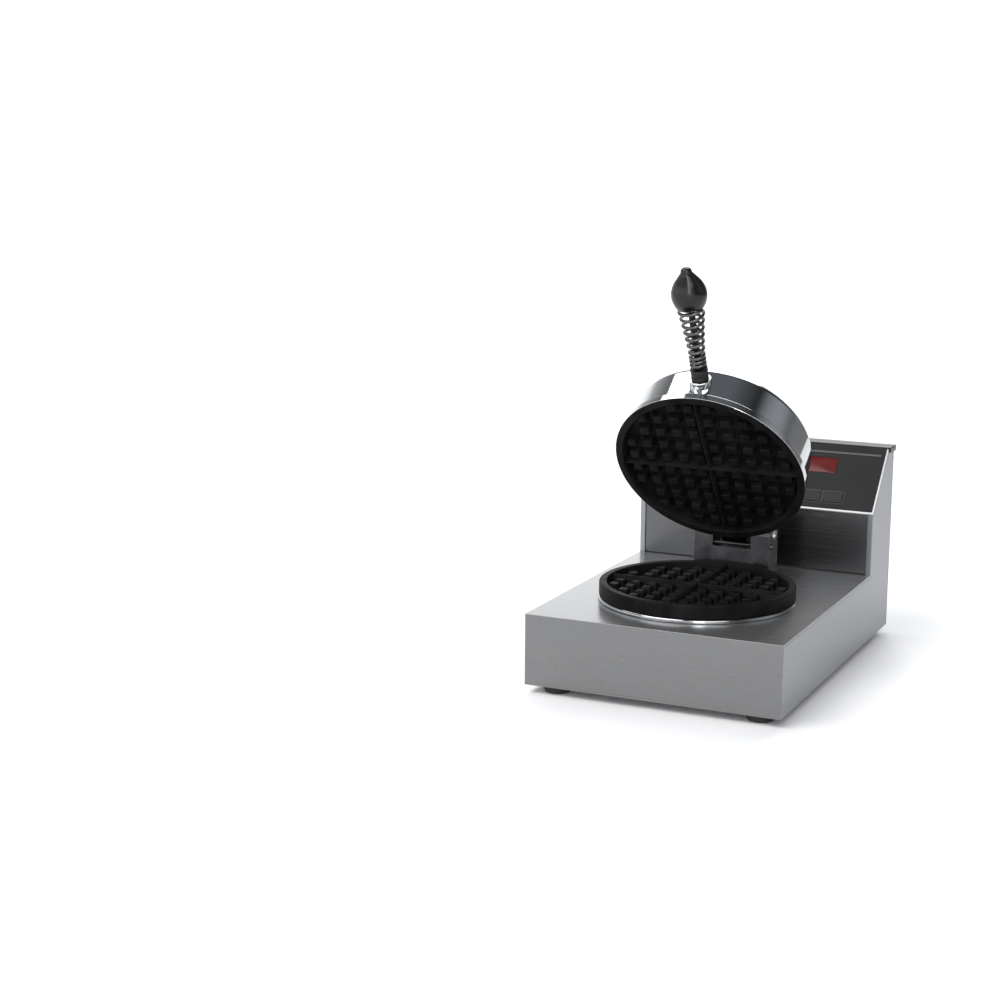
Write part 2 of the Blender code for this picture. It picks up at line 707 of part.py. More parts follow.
# ---------------------------------------------------------------- electrics
def make_electrics():
    floor = 2 * SHEET + 2 * GAP
    x, back = TRANSFORMER
    core = block("transformer", (48 * MM, 40 * MM, 34 * MM), place(x, back, floor + 17 * MM), ZINC)
    winding = block("transformer_winding", (36 * MM, 54 * MM, 24 * MM), place(x, back, floor + 17 * MM), None)
    foot = block("transformer_foot", (68 * MM, 16 * MM, 2 * MM), place(x, back, floor + 1 * MM), None)
    join(core, winding, foot)
    x, back = RELAY
    relay = block("power_relay", (30 * MM, 38 * MM, 28 * MM), place(x, back, floor + 14 * MM), BLACK_PLASTIC)
    foot = block("relay_foot", (46 * MM, 20 * MM, 2.4 * MM), place(x, back, floor + 1.2 * MM), None)
    join(relay, foot)
    x, back = TERMINALS
    body = (64 * MM, 22 * MM, 10 * MM)
    rib = (2 * MM, 22 * MM, 8 * MM)
    terminals = block("terminal_block", body, place(x, back, floor + body[2] / 2), BLACK_PLASTIC)
    for i in range(5):
        middle = place(x + (i - 2) * 15 * MM, back, floor + 13 * MM)
        join(terminals, block(f"terminal_rib_{i}", rib, middle, None))


# ---------------------------------------------------------------- baking parts
def grid_studs(name, parent, frame):
    """Square studs in rows across the field and the two ridges that divide it in four, as far as its edge."""
    below = 2 * MM
    height = FLOOR_DEPTH - STUD_DROP + below
    count = int(FIELD_RADIUS / STUD_PITCH) + 1
    reach = FIELD_RADIUS + 1 * MM
    eighth_turn = Matrix.Rotation(math.radians(45), 4, "Z")
    bm = bmesh.new()
    for row in range(-count, count):
        for column in range(-count, count):
            x = (column + 0.5) * STUD_PITCH
            y = (row + 0.5) * STUD_PITCH
            if math.hypot(x, y) > reach:
                continue
            bmesh.ops.create_cone(
                bm,
                cap_ends=True,
                segments=4,
                radius1=STUD_BASE / math.sqrt(2),
                radius2=STUD_TOP / math.sqrt(2),
                depth=height,
                matrix=Matrix.Translation((x, y, -STUD_DROP - height / 2)) @ eighth_turn,
            )
    studs = add(name, mesh_from(name, bm), None, parent, frame)
    half_base, half_top = RIB_BASE / 2, RIB_TOP / 2
    floor = -FLOOR_DEPTH - below
    section = [(-half_base, floor), (-half_top, -RIB_DROP), (half_top, -RIB_DROP), (half_base, floor)]
    length = 2 * (FIELD_RADIUS + 5 * MM)
    along_y = Matrix.Rotation(math.radians(90), 4, "Z") @ SIDEWAYS
    for i, turn in enumerate((SIDEWAYS, along_y)):
        join(studs, plate(f"{name}_rib_{i}", section, length, None, parent, frame @ turn))
    below, above = (0, 0, -GRID_DEPTH), (0, 0, GRID_DEPTH)
    field = rod(f"{name}_field", reach, below, above, None, parent, frame, LARGE)
    return boolean(studs, "INTERSECT", [field])


def make_grid(name, parent, frame, behind_rim):
    """A dished casting, its rim plane at zero and its face up, with the profile given behind the rim."""
    ease = 0.8 * MM
    profile = [
        (0, -FLOOR_DEPTH),
        (FIELD_RADIUS - 2 * MM, -FLOOR_DEPTH),
        (FIELD_RADIUS, 0),
        (GRID_RADIUS - ease, 0),
        (GRID_RADIUS, -ease),
        *behind_rim,
        (0, -GRID_DEPTH),
    ]
    grid = turned(name, profile, GRID_BLACK, parent, frame)
    join(grid, grid_studs(name + "_studs", parent, frame))


def heater_points():
    """A ring open at the back, each end turned down into a leg."""
    start = math.pi / 2 + LEG_HALF_ANGLE
    sweep = 2 * math.pi - 2 * LEG_HALF_ANGLE
    steps = 28
    ring = []
    for i in range(steps + 1):
        angle = start + sweep * i / steps
        ring.append((HEATER_RING * math.cos(angle), HEATER_RING * math.sin(angle), 0))
    first, last = ring[0], ring[-1]
    return [(first[0], first[1], -HEATER_LEG), *ring, (last[0], last[1], -HEATER_LEG)]


def leg_holes(name, parent, frame, depth_from, depth_to):
    """Cutters for the heater's two legs and the probe, through what lies behind the heater."""
    first, *_, last = heater_points()
    spots = {"leg_a": first, "leg_b": last, "probe": (0, 0, 0)}
    made = []
    for word, spot in spots.items():
        radius = (PROBE_RADIUS if word == "probe" else HEATER_TUBE) + 0.7 * MM
        low, high = (*spot[:2], depth_from), (*spot[:2], depth_to)
        made.append(rod(f"{name}_{word}_hole", radius, low, high, None, parent, frame))
    return made


def make_heating(side, parent, frame):
    """The heater, its clamp plate, the insulation and the probe, behind a grid whose rim plane is at zero."""
    grid_back = -GRID_DEPTH - GAP
    heater_depth = grid_back - HEATER_TUBE
    heater_frame = frame @ Matrix.Translation((0, 0, heater_depth))
    tube(f"{side}_heater", heater_points(), HEATER_TUBE, HEATER_SHEATH, parent, heater_frame)
    high = heater_depth - HEATER_TUBE - GAP
    low = high - CLAMP_THICKNESS
    clamp = rod(f"{side}_clamp_plate", PAD_RADIUS, (0, 0, low), (0, 0, high), ZINC, parent, frame, PAD_SIDES)
    cut(clamp, *leg_holes(f"{side}_clamp", parent, frame, low - 3 * MM, high + 3 * MM))
    high = low - GAP
    low = high - PAD_THICKNESS
    ends = (0, 0, low), (0, 0, high)
    pad = rod(f"{side}_insulation", PAD_RADIUS, *ends, CERAMIC_FIBRE, parent, frame, PAD_SIDES)
    cut(pad, *leg_holes(f"{side}_pad", parent, frame, low - 3 * MM, high + 3 * MM))
    tip = (0, 0, grid_back - PROBE_LENGTH)
    rod(f"{side}_probe", PROBE_RADIUS, tip, (0, 0, grid_back), ZINC, parent, frame)
    return low


def make_lower_side():
    frame = Matrix.Translation((0, GRID_Y, DECK_Z + LOWER_RIM))
    behind_rim = [(GRID_RADIUS, -LOWER_WALL), (LOWER_SPIGOT, -LOWER_WALL), (LOWER_SPIGOT, -GRID_DEPTH)]
    make_grid("lower_grid", None, frame, behind_rim)
    pad_bottom = make_heating("lower", None, frame)
    deck = Matrix.Translation((0, GRID_Y, DECK_Z))
    lip = DECK_HOLE_RADIUS - GAP
    profile = [
        (lip - SHEET, TRIM_HEIGHT),
        (TRIM_RADIUS - 1.5 * MM, TRIM_HEIGHT),
        (TRIM_RADIUS - 0.4 * MM, TRIM_HEIGHT - 0.5 * MM),
        (TRIM_RADIUS, TRIM_HEIGHT - 1.6 * MM),
        (TRIM_RADIUS, GAP),
        (lip, GAP),
        (lip, -8 * MM),
        (lip - SHEET, -8 * MM),
    ]
    turned("lower_trim_ring", profile, POLISHED, frame=deck, closed=True)
    outer = lip - SHEET - GAP
    floor = LOWER_RIM + pad_bottom - GAP
    profile = [
        (0, floor),
        (outer - SHEET, floor),
        (outer - SHEET, -4 * MM),
        (outer, -4 * MM),
        (outer, floor - SHEET),
        (0, floor - SHEET),
    ]
    pan = turned("lower_pan", profile, BRUSHED, frame=deck, sides=MEDIUM * 2)
    cut(pan, *leg_holes("lower_pan", None, deck, floor - FLANGE, floor + 4 * MM))


# ---------------------------------------------------------------- lid
def closed_lid(up=0.0, forward=GRID_REACH):
    """A frame over the grid's middle, this far above the deck, in the lid's own closed position."""
    return Matrix.Translation((0, -forward, up - HINGE_HEIGHT))


def drum_profile():
    """The drum's outer face, from the middle of its crown to the edge of the skirt round the upper grid."""
    flat_edge = DRUM_RADIUS - DRUM_SHOULDER
    crown = [(flat_edge * i / 3, DRUM_TOP - DRUM_CROWN * (i / 3) ** 2) for i in range(4)]
    centre = (flat_edge, DRUM_TOP - DRUM_CROWN - DRUM_SHOULDER)
    shoulder = arc(centre, DRUM_SHOULDER, 78, 0, 5)
    foot = DRUM_FOOT + SHEET
    root = 1.5 * MM
    turn = 0.8 * MM
    skirt = [(SKIRT_RADIUS - turn, foot), (SKIRT_RADIUS, foot - turn), (SKIRT_RADIUS, SKIRT_FOOT)]
    return [*crown, *shoulder, (DRUM_RADIUS, foot + root), (DRUM_RADIUS + root, foot), *skirt]


def make_drum(lid):
    drum = turned("lid_drum", drum_profile(), POLISHED, lid, closed_lid())
    thicken = drum.modifiers.new("thickness", "SOLIDIFY")
    thicken.thickness = SHEET
    thicken.offset = -1
    thicken.use_even_offset = True
    for i, y in enumerate(ARM_BOLTS):
        hole = rod(f"drum_bolt_hole_{i}", BOLT_RADIUS + GAP, (0, y, DRUM_TOP - 2 * FLANGE),
                   (0, y, DRUM_TOP + FLANGE), None, lid, closed_lid())
        cut(drum, hole)
    inside, outside = (0, 0, -FLANGE), (0, 0, FLANGE)
    cut(drum, rod("drum_stud_hole", STUD_RADIUS + 0.5 * MM, inside, outside, None, lid, handle_frame()))


def arm_outline():
    """The arm from the right: a bar, a sloping back and a neck that ends in the hinge boss."""
    bottom = ARM_BOTTOM - HINGE_HEIGHT
    top = ARM_TOP - HINGE_HEIGHT
    front = -GRID_REACH - ARM_FRONT
    rear = -GRID_REACH + ARM_REAR
    boss = arc((0, 0), BOSS_RADIUS, 0, -180, 10)
    return [
        (front, bottom),
        (front, top),
        (rear, top),
        (-6 * MM, bottom + 6 * MM),
        (BOSS_RADIUS, bottom - 3 * MM),
        *boss,
        (-BOSS_RADIUS, bottom),
    ]


def make_arm(lid):
    arm = plate("hinge_arm", arm_outline(), ARM_WIDTH, ALUMINIUM, lid, side_frame(0))
    yoke_top = ARM_BOTTOM - HINGE_HEIGHT - 0.5 * MM
    yoke_size = (YOKE_WIDTH, YOKE_DEPTH, yoke_top - YOKE_BOTTOM)
    yoke = block("arm_yoke", yoke_size, (0, 2 * MM, (YOKE_BOTTOM + yoke_top) / 2), None, lid)
    bore = rod("arm_bore", BUSHING_RADIUS + GAP, (-HALF, 0, 0), (HALF, 0, 0), None, lid, sides=MEDIUM)
    slot = block("arm_slot", (*ARM_SLOT, 14 * MM), (0, ARM_SLOT_Y, ARM_TOP), None, lid, closed_lid())
    join(arm, yoke)
    cut(arm, bore, slot)
    for i, y in enumerate(ARM_BOLTS):
        low, high = (0, y, ARM_BOTTOM - FLANGE), (0, y, ARM_BOTTOM + BOLT_DEPTH + 1 * MM)
        cut(arm, rod(f"arm_thread_{i}", BOLT_RADIUS + GAP, low, high, None, lid, closed_lid()))
    sleeve = [
        (PIN_RADIUS + GAP, ARM_WIDTH / 2 + 1 * MM),
        (BUSHING_RADIUS, ARM_WIDTH / 2 + 1 * MM),
        (BUSHING_RADIUS, -ARM_WIDTH / 2 - 1 * MM),
        (PIN_RADIUS + GAP, -ARM_WIDTH / 2 - 1 * MM),
    ]
    along_x = Matrix.Rotation(math.radians(90), 4, "Y")
    turned("hinge_bushing", sleeve, BRONZE, lid, along_x, sides=MEDIUM, closed=True)


def make_arm_bolt(word, y, lid):
    """A bolt from inside the drum up into the arm."""
    drop = DRUM_CROWN * (y / (DRUM_RADIUS - DRUM_SHOULDER)) ** 2
    seat = DRUM_TOP - SHEET - drop - GAP
    head = 4 * MM
    head_radius = 5.5 * MM
    profile = [
        (0, ARM_BOTTOM + BOLT_DEPTH),
        (BOLT_RADIUS, ARM_BOTTOM + BOLT_DEPTH),
        (BOLT_RADIUS, seat - 0.2 * MM),
        (head_radius, seat - 0.2 * MM),
        (head_radius, seat - head),
        (0, seat - head),
    ]
    turned(f"arm_bolt_{word}", profile, ZINC, lid, closed_lid() @ Matrix.Translation((0, y, 0)), sides=SMALL)


def handle_frame():
    """Z runs out along the handle from the drum's front wall."""
    tilt = Matrix.Rotation(math.radians(90) - HANDLE_RISE, 4, "X")
    return closed_lid(HINGE_HEIGHT, GRID_REACH + DRUM_RADIUS) @ tilt


def coil_points():
    """A spiral that is close-wound at the ferrule and opens as it widens towards the knob."""
    close_pitch, open_pitch = 4.4 * MM, 7.7 * MM
    first = FERRULE_END + COIL_WIRE + GAP
    close_until = 33 * MM
    last = COIL_END - COIL_WIRE - GAP
    per_turn = 9
    points = []
    along, angle = first, 0.0
    while along < last:
        share = max(0.0, (along - close_until) / (last - close_until))
        radius = 7 * MM + 5.8 * MM * share ** 1.6
        points.append((radius * math.cos(angle), radius * math.sin(angle), along))
        pitch = close_pitch if along < close_until else open_pitch
        along += pitch / per_turn
        angle += 2 * math.pi / per_turn
    return points


def make_handle(lid):
    frame = handle_frame()
    drum_wall = rod("collar_seat", DRUM_RADIUS + GAP, (0, 0, -30 * MM), (0, 0, 30 * MM), None, lid,
                    closed_lid(HINGE_HEIGHT), sides=LARGE)
    bore = STUD_RADIUS + GAP
    profile = [(bore, COLLAR_END), (COLLAR_RADIUS - 1 * MM, COLLAR_END), (COLLAR_RADIUS, COLLAR_END - 1 * MM),
               (COLLAR_RADIUS, -5 * MM), (bore, -5 * MM)]
    cut(turned("handle_collar", profile, POLISHED, lid, frame, MEDIUM, closed=True), drum_wall)
    low = COLLAR_END + GAP
    profile = [
        (bore, FERRULE_END),
        (FERRULE_RADIUS - 1 * MM, FERRULE_END),
        (FERRULE_RADIUS, FERRULE_END - 2 * MM),
        (FERRULE_RADIUS, low),
        (bore, low),
    ]
    turned("handle_ferrule", profile, BLACK_PLASTIC, lid, frame, MEDIUM, closed=True)
    rod("handle_stud", STUD_RADIUS, (0, 0, -10 * MM), (0, 0, KNOB_END - 24 * MM), ZINC, lid, frame)
    hex_nut("handle_nut", 7 * MM, bore, -8 * MM, -3.4 * MM, ZINC, lid, frame)
    tube("handle_coil", coil_points(), COIL_WIRE, SPRING_STEEL, lid, frame)
    socket = KNOB_END - 23 * MM
    profile = [
        (0, KNOB_END),
        (3.5 * MM, KNOB_END - 0.4 * MM),
        (5.4 * MM, KNOB_END - 2.1 * MM),
        (6.6 * MM, KNOB_END - 6 * MM),
        (10.5 * MM, KNOB_END - 11 * MM),
        (14.6 * MM, KNOB_END - 17 * MM),
        (17.4 * MM, KNOB_END - 23.8 * MM),
        (18 * MM, KNOB_END - 29 * MM),
        (17.2 * MM, KNOB_END - 34 * MM),
        (14.8 * MM, KNOB_END - 39.5 * MM),
        (13.4 * MM, COIL_END),
        (bore, COIL_END),
        (bore, socket),
        (0, socket),
    ]
    turned("handle_knob", profile, KNOB_BLACK, lid, frame, MEDIUM)


def make_lid():
    lid = bpy.data.objects.new("lid_axis", None)
    parts.objects.link(lid)
    lid.location = HINGE
    lid.rotation_euler = (-LID_OPEN, 0, 0)
    upside_down = Matrix.Rotation(math.pi, 4, "X")
    frame = closed_lid(UPPER_RIM) @ upside_down
    behind_rim = [
        (GRID_RADIUS, -UPPER_LIP),
        (UPPER_BODY_RADIUS, -UPPER_LIP),
        (UPPER_BODY_RADIUS, -UPPER_WALL),
        (UPPER_SPIGOT, -UPPER_WALL),
        (UPPER_SPIGOT, -GRID_DEPTH),
    ]
    make_grid("upper_grid", lid, frame, behind_rim)
    half_turn = Matrix.Rotation(math.pi, 4, "Z")
    make_heating("upper", lid, frame @ half_turn)
    make_drum(lid)
    make_arm(lid)
    for word, y in zip(("front", "rear"), ARM_BOLTS):
        make_arm_bolt(word, y, lid)
    make_handle(lid)


# ---------------------------------------------------------------- hinge
def make_bracket():
    """A round-topped box open at the back, notched in the middle for the arm, with a bore for the pin."""
    half = BRACKET_HALF_DEPTH
    foot = GAP - HINGE_HEIGHT
    outline = [(-half, foot), *arc((0, 0), half, 180, 0, 12), (half, foot)]
    across = side_frame(0, HINGE.y, HINGE.z)
    bracket = plate("hinge_bracket", outline, BRACKET_WIDTH, BRACKET_STEEL, frame=across)
    centre_frame = Matrix.Translation(HINGE)
    notch_low = NOTCH_HEIGHT - HINGE_HEIGHT
    notch_high = half + FLANGE
    notch = block("bracket_notch", (NOTCH_WIDTH, 4 * half, notch_high - notch_low),
                  (0, 0, (notch_low + notch_high) / 2), None, frame=centre_frame)
    wall = BRACKET_WALL
    floor = foot + wall
    ceiling = notch_low - wall
    under = block("bracket_under", (BRACKET_WIDTH - 2 * wall, 2 * half, ceiling - floor),
                  (0, wall, (floor + ceiling) / 2), None, frame=centre_frame)
    cut(bracket, notch, under)
    ear_width = (BRACKET_WIDTH - NOTCH_WIDTH) / 2
    head = 10 * MM
    for side, word in ((-1, "left"), (1, "right")):
        x = side * (NOTCH_WIDTH / 2 + ear_width / 2)
        hollow = block(f"bracket_ear_{word}", (ear_width - 2 * wall, 2 * half, head - floor),
                       (x, wall, (floor + head) / 2), None, frame=centre_frame)
        cut(bracket, hollow)
    left, right = (-HALF, 0, 0), (HALF, 0, 0)
    cut(bracket, rod("bracket_bore", PIN_RADIUS + GAP, left, right, None, frame=centre_frame, sides=MEDIUM))
    left, right = (-HALF, *TIE_ROD), (HALF, *TIE_ROD)
    cut(bracket, rod("tie_rod_bore", TIE_ROD_RADIUS + GAP, left, right, None, frame=centre_frame))
    for side, word in zip(BRACKET_SCREWS, ("left", "right")):
        low, high = (side, 0, foot - FLANGE), (side, 0, floor + 2 * MM)
        cut(bracket, rod(f"bracket_hole_{word}", SCREW_RADIUS + GAP, low, high, None, frame=centre_frame))
        seat = floor + GAP
        profile = [
            (0, seat + 2.4 * MM),
            (2.6 * MM, seat + 2.2 * MM),
            (3.8 * MM, seat + 1 * MM),
            (3.8 * MM, seat),
            (SCREW_RADIUS, seat),
            (SCREW_RADIUS, foot - 8 * MM),
            (0, foot - 8 * MM),
        ]
        turned(f"bracket_screw_{word}", profile, ZINC, frame=centre_frame @ Matrix.Translation((side, 0, 0)),
               sides=SMALL)


def make_pin():
    """The hinge pin, headed at the right, and the clip on its left end."""
    half = BRACKET_WIDTH / 2
    along_x = Matrix.Translation(HINGE) @ Matrix.Rotation(math.radians(90), 4, "Y")
    profile = [
        (0, half + 3.2 * MM),
        (4 * MM, half + 3 * MM),
        (6.2 * MM, half + 1.6 * MM),
        (6.2 * MM, half + GAP),
        (PIN_RADIUS, half + GAP),
        (PIN_RADIUS, -half - 4 * MM),
        (0, -half - 4 * MM),
    ]
    turned("hinge_pin", profile, POLISHED, frame=along_x, sides=MEDIUM)
    profile = [
        (PIN_RADIUS + GAP, -half - GAP),
        (7 * MM, -half - GAP),
        (7 * MM, -half - 1.8 * MM),
        (PIN_RADIUS + GAP, -half - 1.8 * MM),
    ]
    turned("pin_clip", profile, ZINC, frame=along_x, sides=MEDIUM, closed=True)


def make_tie_rod():
    """The riveted rod that holds the bracket's two ears together, in front of the hinge boss."""
    half = BRACKET_WIDTH / 2
    near_end = [
        (0, half + 2.6 * MM),
        (2.2 * MM, half + 2.3 * MM),
        (3.3 * MM, half + 1.2 * MM),
        (3.3 * MM, half + GAP),
        (TIE_ROD_RADIUS, half + GAP),
    ]
    profile = [*near_end, *[(radius, -height) for radius, height in reversed(near_end)]]
    along_x = Matrix.Translation(HINGE + Vector((0, *TIE_ROD))) @ Matrix.Rotation(math.radians(90), 4, "Y")
    turned("bracket_tie_rod", profile, ZINC, frame=along_x, sides=MEDIUM)


make_deck()
make_side("side_panel_left", -1)
make_side("side_panel_right", 1)
make_backsplash()
make_control_panel()
make_top_cap()
make_rear_cover()
make_bottom_pan()
for word, (x, back) in FEET.items():
    make_foot(word, x, back)
make_gland()
make_overlay()
make_window_and_board()
for word, x in KEYS.items():
    make_key(word, x)
make_switch()
make_electrics()
make_lower_side()
make_lid()
make_bracket()
make_pin()
make_tie_rod()
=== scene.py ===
"""The looks of a single round waffle baker, its lid standing open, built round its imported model.

Metres, +Z up, front towards -Y. The lid's pieces are made in the lid's own frame, closed, with the hinge at
the origin, and then turned open by the angle at which the model rests.
"""

import json
import math

import bmesh
import bpy
from mathutils import Matrix, Vector


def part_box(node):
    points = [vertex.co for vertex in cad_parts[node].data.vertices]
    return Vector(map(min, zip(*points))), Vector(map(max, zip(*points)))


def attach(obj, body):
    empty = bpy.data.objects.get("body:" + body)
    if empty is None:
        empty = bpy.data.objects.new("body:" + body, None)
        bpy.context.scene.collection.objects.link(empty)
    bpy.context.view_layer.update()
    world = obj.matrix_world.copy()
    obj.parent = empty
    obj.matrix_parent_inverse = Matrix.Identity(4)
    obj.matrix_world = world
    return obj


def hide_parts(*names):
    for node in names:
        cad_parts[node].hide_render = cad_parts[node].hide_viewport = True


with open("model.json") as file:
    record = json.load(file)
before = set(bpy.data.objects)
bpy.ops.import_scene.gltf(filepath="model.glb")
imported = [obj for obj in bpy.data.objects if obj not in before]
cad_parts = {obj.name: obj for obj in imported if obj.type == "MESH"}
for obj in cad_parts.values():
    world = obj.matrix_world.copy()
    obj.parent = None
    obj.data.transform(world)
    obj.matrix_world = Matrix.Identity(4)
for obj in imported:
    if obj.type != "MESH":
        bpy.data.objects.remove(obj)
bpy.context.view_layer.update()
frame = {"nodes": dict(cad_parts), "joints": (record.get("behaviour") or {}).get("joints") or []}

MM = 0.001
SHEET = 1.2 * MM
GAP = 0.3 * MM
BEND = 1.4 * MM
FLANGE = 6 * MM

deck_low, deck_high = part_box("deck_and_apron")
cap_low, cap_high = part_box("top_cap")
_, cover_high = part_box("rear_cover")
ring_low, ring_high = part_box("lower_trim_ring")
grid_low, grid_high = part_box("lower_grid")
bracket_low, bracket_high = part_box("hinge_bracket")

HALF = deck_high.x
FRONT = deck_low.y
BASE = deck_low.z
DECK = deck_high.z
BACK = cover_high.y
CONSOLE_TOP = cap_high.z
CONSOLE_FRONT = FRONT + 315 * MM
SLOPE_FOOT = BASE + 141.3 * MM
SLOPE_HEAD = FRONT + 373 * MM
GRID = Vector((0, (ring_low.y + ring_high.y) / 2, DECK))

lid_joint = next(joint for joint in frame["joints"] if joint["name"] == "lid_hinge")
HINGE = Vector(lid_joint["pos_m"])
LID_OPEN = -math.radians(lid_joint["range_deg"][0])
GRID_REACH = HINGE.y - GRID.y
HINGE_HEIGHT = HINGE.z - DECK
LID = Matrix.Translation(HINGE) @ Matrix.Rotation(-LID_OPEN, 4, "X")

SLOPE = Vector((0, SLOPE_HEAD - CONSOLE_FRONT, CONSOLE_TOP - SLOPE_FOOT)).normalized()
SLOPE_OUT = Vector((0, -SLOPE.z, SLOPE.y))
SLOPE_START = Vector((0, CONSOLE_FRONT, SLOPE_FOOT))
SLOPE_LENGTH = (CONSOLE_TOP - SLOPE_FOOT) / SLOPE.z

Y_TO_X = Matrix((Vector((0, 1, 0)), Vector((0, 0, 1)), Vector((1, 0, 0)))).transposed().to_4x4()
FINE = 144


def middle_x(node):
    low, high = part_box(node)
    return (low.x + high.x) / 2


def width(node):
    low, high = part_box(node)
    return high.x - low.x


# ---------------------------------------------------------------- materials
def assign(node, values):
    for key, value in values.items():
        node.inputs[key].default_value = value


def times(colour, factor):
    return tuple(min(1, factor * part) for part in colour)


class Nodes:
    """A short way to wire one Principled material."""

    def __init__(self, name, colour, roughness, metallic):
        self.material = bpy.data.materials.new(name)
        self.material.use_nodes = True
        self.tree = self.material.node_tree
        self.shader = self.tree.nodes["Principled BSDF"]
        assign(self.shader, {"Base Color": (*colour, 1), "Roughness": roughness, "Metallic": metallic})
        self.bump_out = None

    def add(self, kind, **values):
        node = self.tree.nodes.new(kind)
        for key, value in values.items():
            setattr(node, key, value)
        return node

    def link(self, source, target):
        self.tree.links.new(source, target)

    def coordinates(self, scale=(1, 1, 1)):
        where = self.add("ShaderNodeTexCoord")
        mapping = self.add("ShaderNodeMapping")
        mapping.inputs["Scale"].default_value = scale
        self.link(where.outputs["Object"], mapping.inputs["Vector"])
        return mapping.outputs["Vector"]

    def lathe_coordinates(self, across, along):
        """Coordinates that change only with the distance from local Z and with height along it."""
        where = self.add("ShaderNodeTexCoord")
        split = self.add("ShaderNodeSeparateXYZ")
        self.link(where.outputs["Object"], split.inputs[0])
        flat = self.add("ShaderNodeCombineXYZ")
        self.link(split.outputs[0], flat.inputs[0])
        self.link(split.outputs[1], flat.inputs[1])
        length = self.add("ShaderNodeVectorMath", operation="LENGTH")
        self.link(flat.outputs[0], length.inputs[0])
        joined = self.add("ShaderNodeCombineXYZ")
        for source, scale, target in ((length.outputs["Value"], across, 0), (split.outputs[2], along, 1)):
            times = self.add("ShaderNodeMath", operation="MULTIPLY")
            times.inputs[1].default_value = scale
            self.link(source, times.inputs[0])
            self.link(times.outputs[0], joined.inputs[target])
        return joined.outputs[0]

    def noise(self, vector, scale, detail=3.0, roughness=0.5):
        made = self.add("ShaderNodeTexNoise")
        assign(made, {"Scale": scale, "Detail": detail, "Roughness": roughness})
        self.link(vector, made.inputs["Vector"])
        return made.outputs["Fac"]

    def spread(self, source, low, high, start=0.3, end=0.7):
        """A number that runs from low to high as the source runs from start to end."""
        made = self.add("ShaderNodeMapRange")
        assign(made, {"From Min": start, "From Max": end, "To Min": low, "To Max": high})
        self.link(source, made.inputs["Value"])
        return made.outputs["Result"]

    def roughness(self, source):
        self.link(source, self.shader.inputs["Roughness"])

    def colour(self, source, first, second, start=0.3, end=0.7):
        mix = self.add("ShaderNodeMix", data_type="RGBA")
        assign(mix, {6: (*first, 1), 7: (*second, 1)})
        self.link(self.spread(source, 0, 1, start, end), mix.inputs[0])
        self.link(mix.outputs[2], self.shader.inputs["Base Color"])

    def shade(self, source, low, high, start, end):
        """Scales the colour already set from low to high as the source runs from start to end."""
        scaled = self.add("ShaderNodeVectorMath", operation="SCALE")
        colour = self.shader.inputs["Base Color"]
        self.link(colour.links[0].from_socket, scaled.inputs[0])
        self.link(self.spread(source, low, high, start, end), scaled.inputs["Scale"])
        self.link(scaled.outputs[0], colour)

    def bump(self, source, distance, strength=1.0):
        made = self.add("ShaderNodeBump")
        assign(made, {"Strength": strength, "Distance": distance})
        self.link(source, made.inputs["Height"])
        if self.bump_out:
            self.link(self.bump_out, made.inputs["Normal"])
        self.bump_out = made.outputs["Normal"]
        self.link(self.bump_out, self.shader.inputs["Normal"])


def brushed(name, colour, grain, low, high, coat=0.0, painted_light_shares=None):
    """Brushed stainless sheet under a thin clear film, its grain along the axis with the small scale.

    Shares, where given, scale the colour below the deck's face and from the deck's face upwards, as painted
    shade on the front face and painted light on the deck's top and above.
    """
    made = Nodes(name, colour, (low + high) / 2, 1 - 0.35 * coat)
    assign(made.shader, {"Coat Weight": coat, "Coat Roughness": 0.2, "Coat IOR": 1.7})
    streaks = made.noise(made.coordinates(grain), 1.0, 3.0, 0.5)
    clouds = made.noise(made.coordinates(), 9.0, 2.0)
    made.roughness(made.spread(streaks, low, high))
    both = made.add("ShaderNodeMath", operation="ADD")
    made.link(made.spread(streaks, 0.2, 0.6), both.inputs[0])
    made.link(made.spread(clouds, 0, 0.35), both.inputs[1])
    made.colour(both.outputs[0], times(colour, 0.94), times(colour, 1.04), 0.2, 0.9)
    if painted_light_shares:
        where = made.add("ShaderNodeTexCoord")
        split = made.add("ShaderNodeSeparateXYZ")
        made.link(where.outputs["Object"], split.inputs[0])
        # Painted shade below the deck's face and painted light from it upwards, on one and the same steel.
        made.shade(split.outputs[2], *painted_light_shares, DECK - 1 * MM, DECK - 0.2 * MM)
    made.bump(streaks, 0.004 * MM, 0.2)
    return made.material


def lathe_polished(name, colour, low, high):
    """Spun and polished stainless steel, with faint rings."""
    made = Nodes(name, colour, (low + high) / 2, 1)
    rings = made.noise(made.lathe_coordinates(900, 900), 1.0, 3.0)
    smears = made.noise(made.coordinates((30, 30, 12)), 1.0, 2.0)
    both = made.add("ShaderNodeMath", operation="MULTIPLY")
    made.link(rings, both.inputs[0])
    made.link(smears, both.inputs[1])
    made.roughness(made.spread(both.outputs[0], low, high, 0.15, 0.45))
    made.bump(rings, 0.01 * MM, 0.35)
    return made.material


def speckled(name, colour, shades, rough, grain, patches, relief, metallic=0, gloss=0.5, coat=0.0):
    """Fine relief under broad faint patches, which run between two shades and two roughnesses."""
    made = Nodes(name, colour, (rough[0] + rough[1]) / 2, metallic)
    assign(made.shader, {"Specular IOR Level": gloss, "Coat Weight": coat, "Coat Roughness": 0.08})
    fine = made.noise(made.coordinates(), *grain)
    broad = made.noise(made.coordinates(), *patches)
    made.roughness(made.spread(broad, *rough))
    made.colour(broad, *shades)
    made.bump(fine, *relief)
    return made.material


def cast_metal(name, colour, rough):
    return speckled(name, colour, (times(colour, 0.88), times(colour, 1.08)), (rough - 0.08, rough + 0.1),
                    (900.0, 4.0), (60.0, 3.0), (0.08 * MM, 0.6), metallic=1)


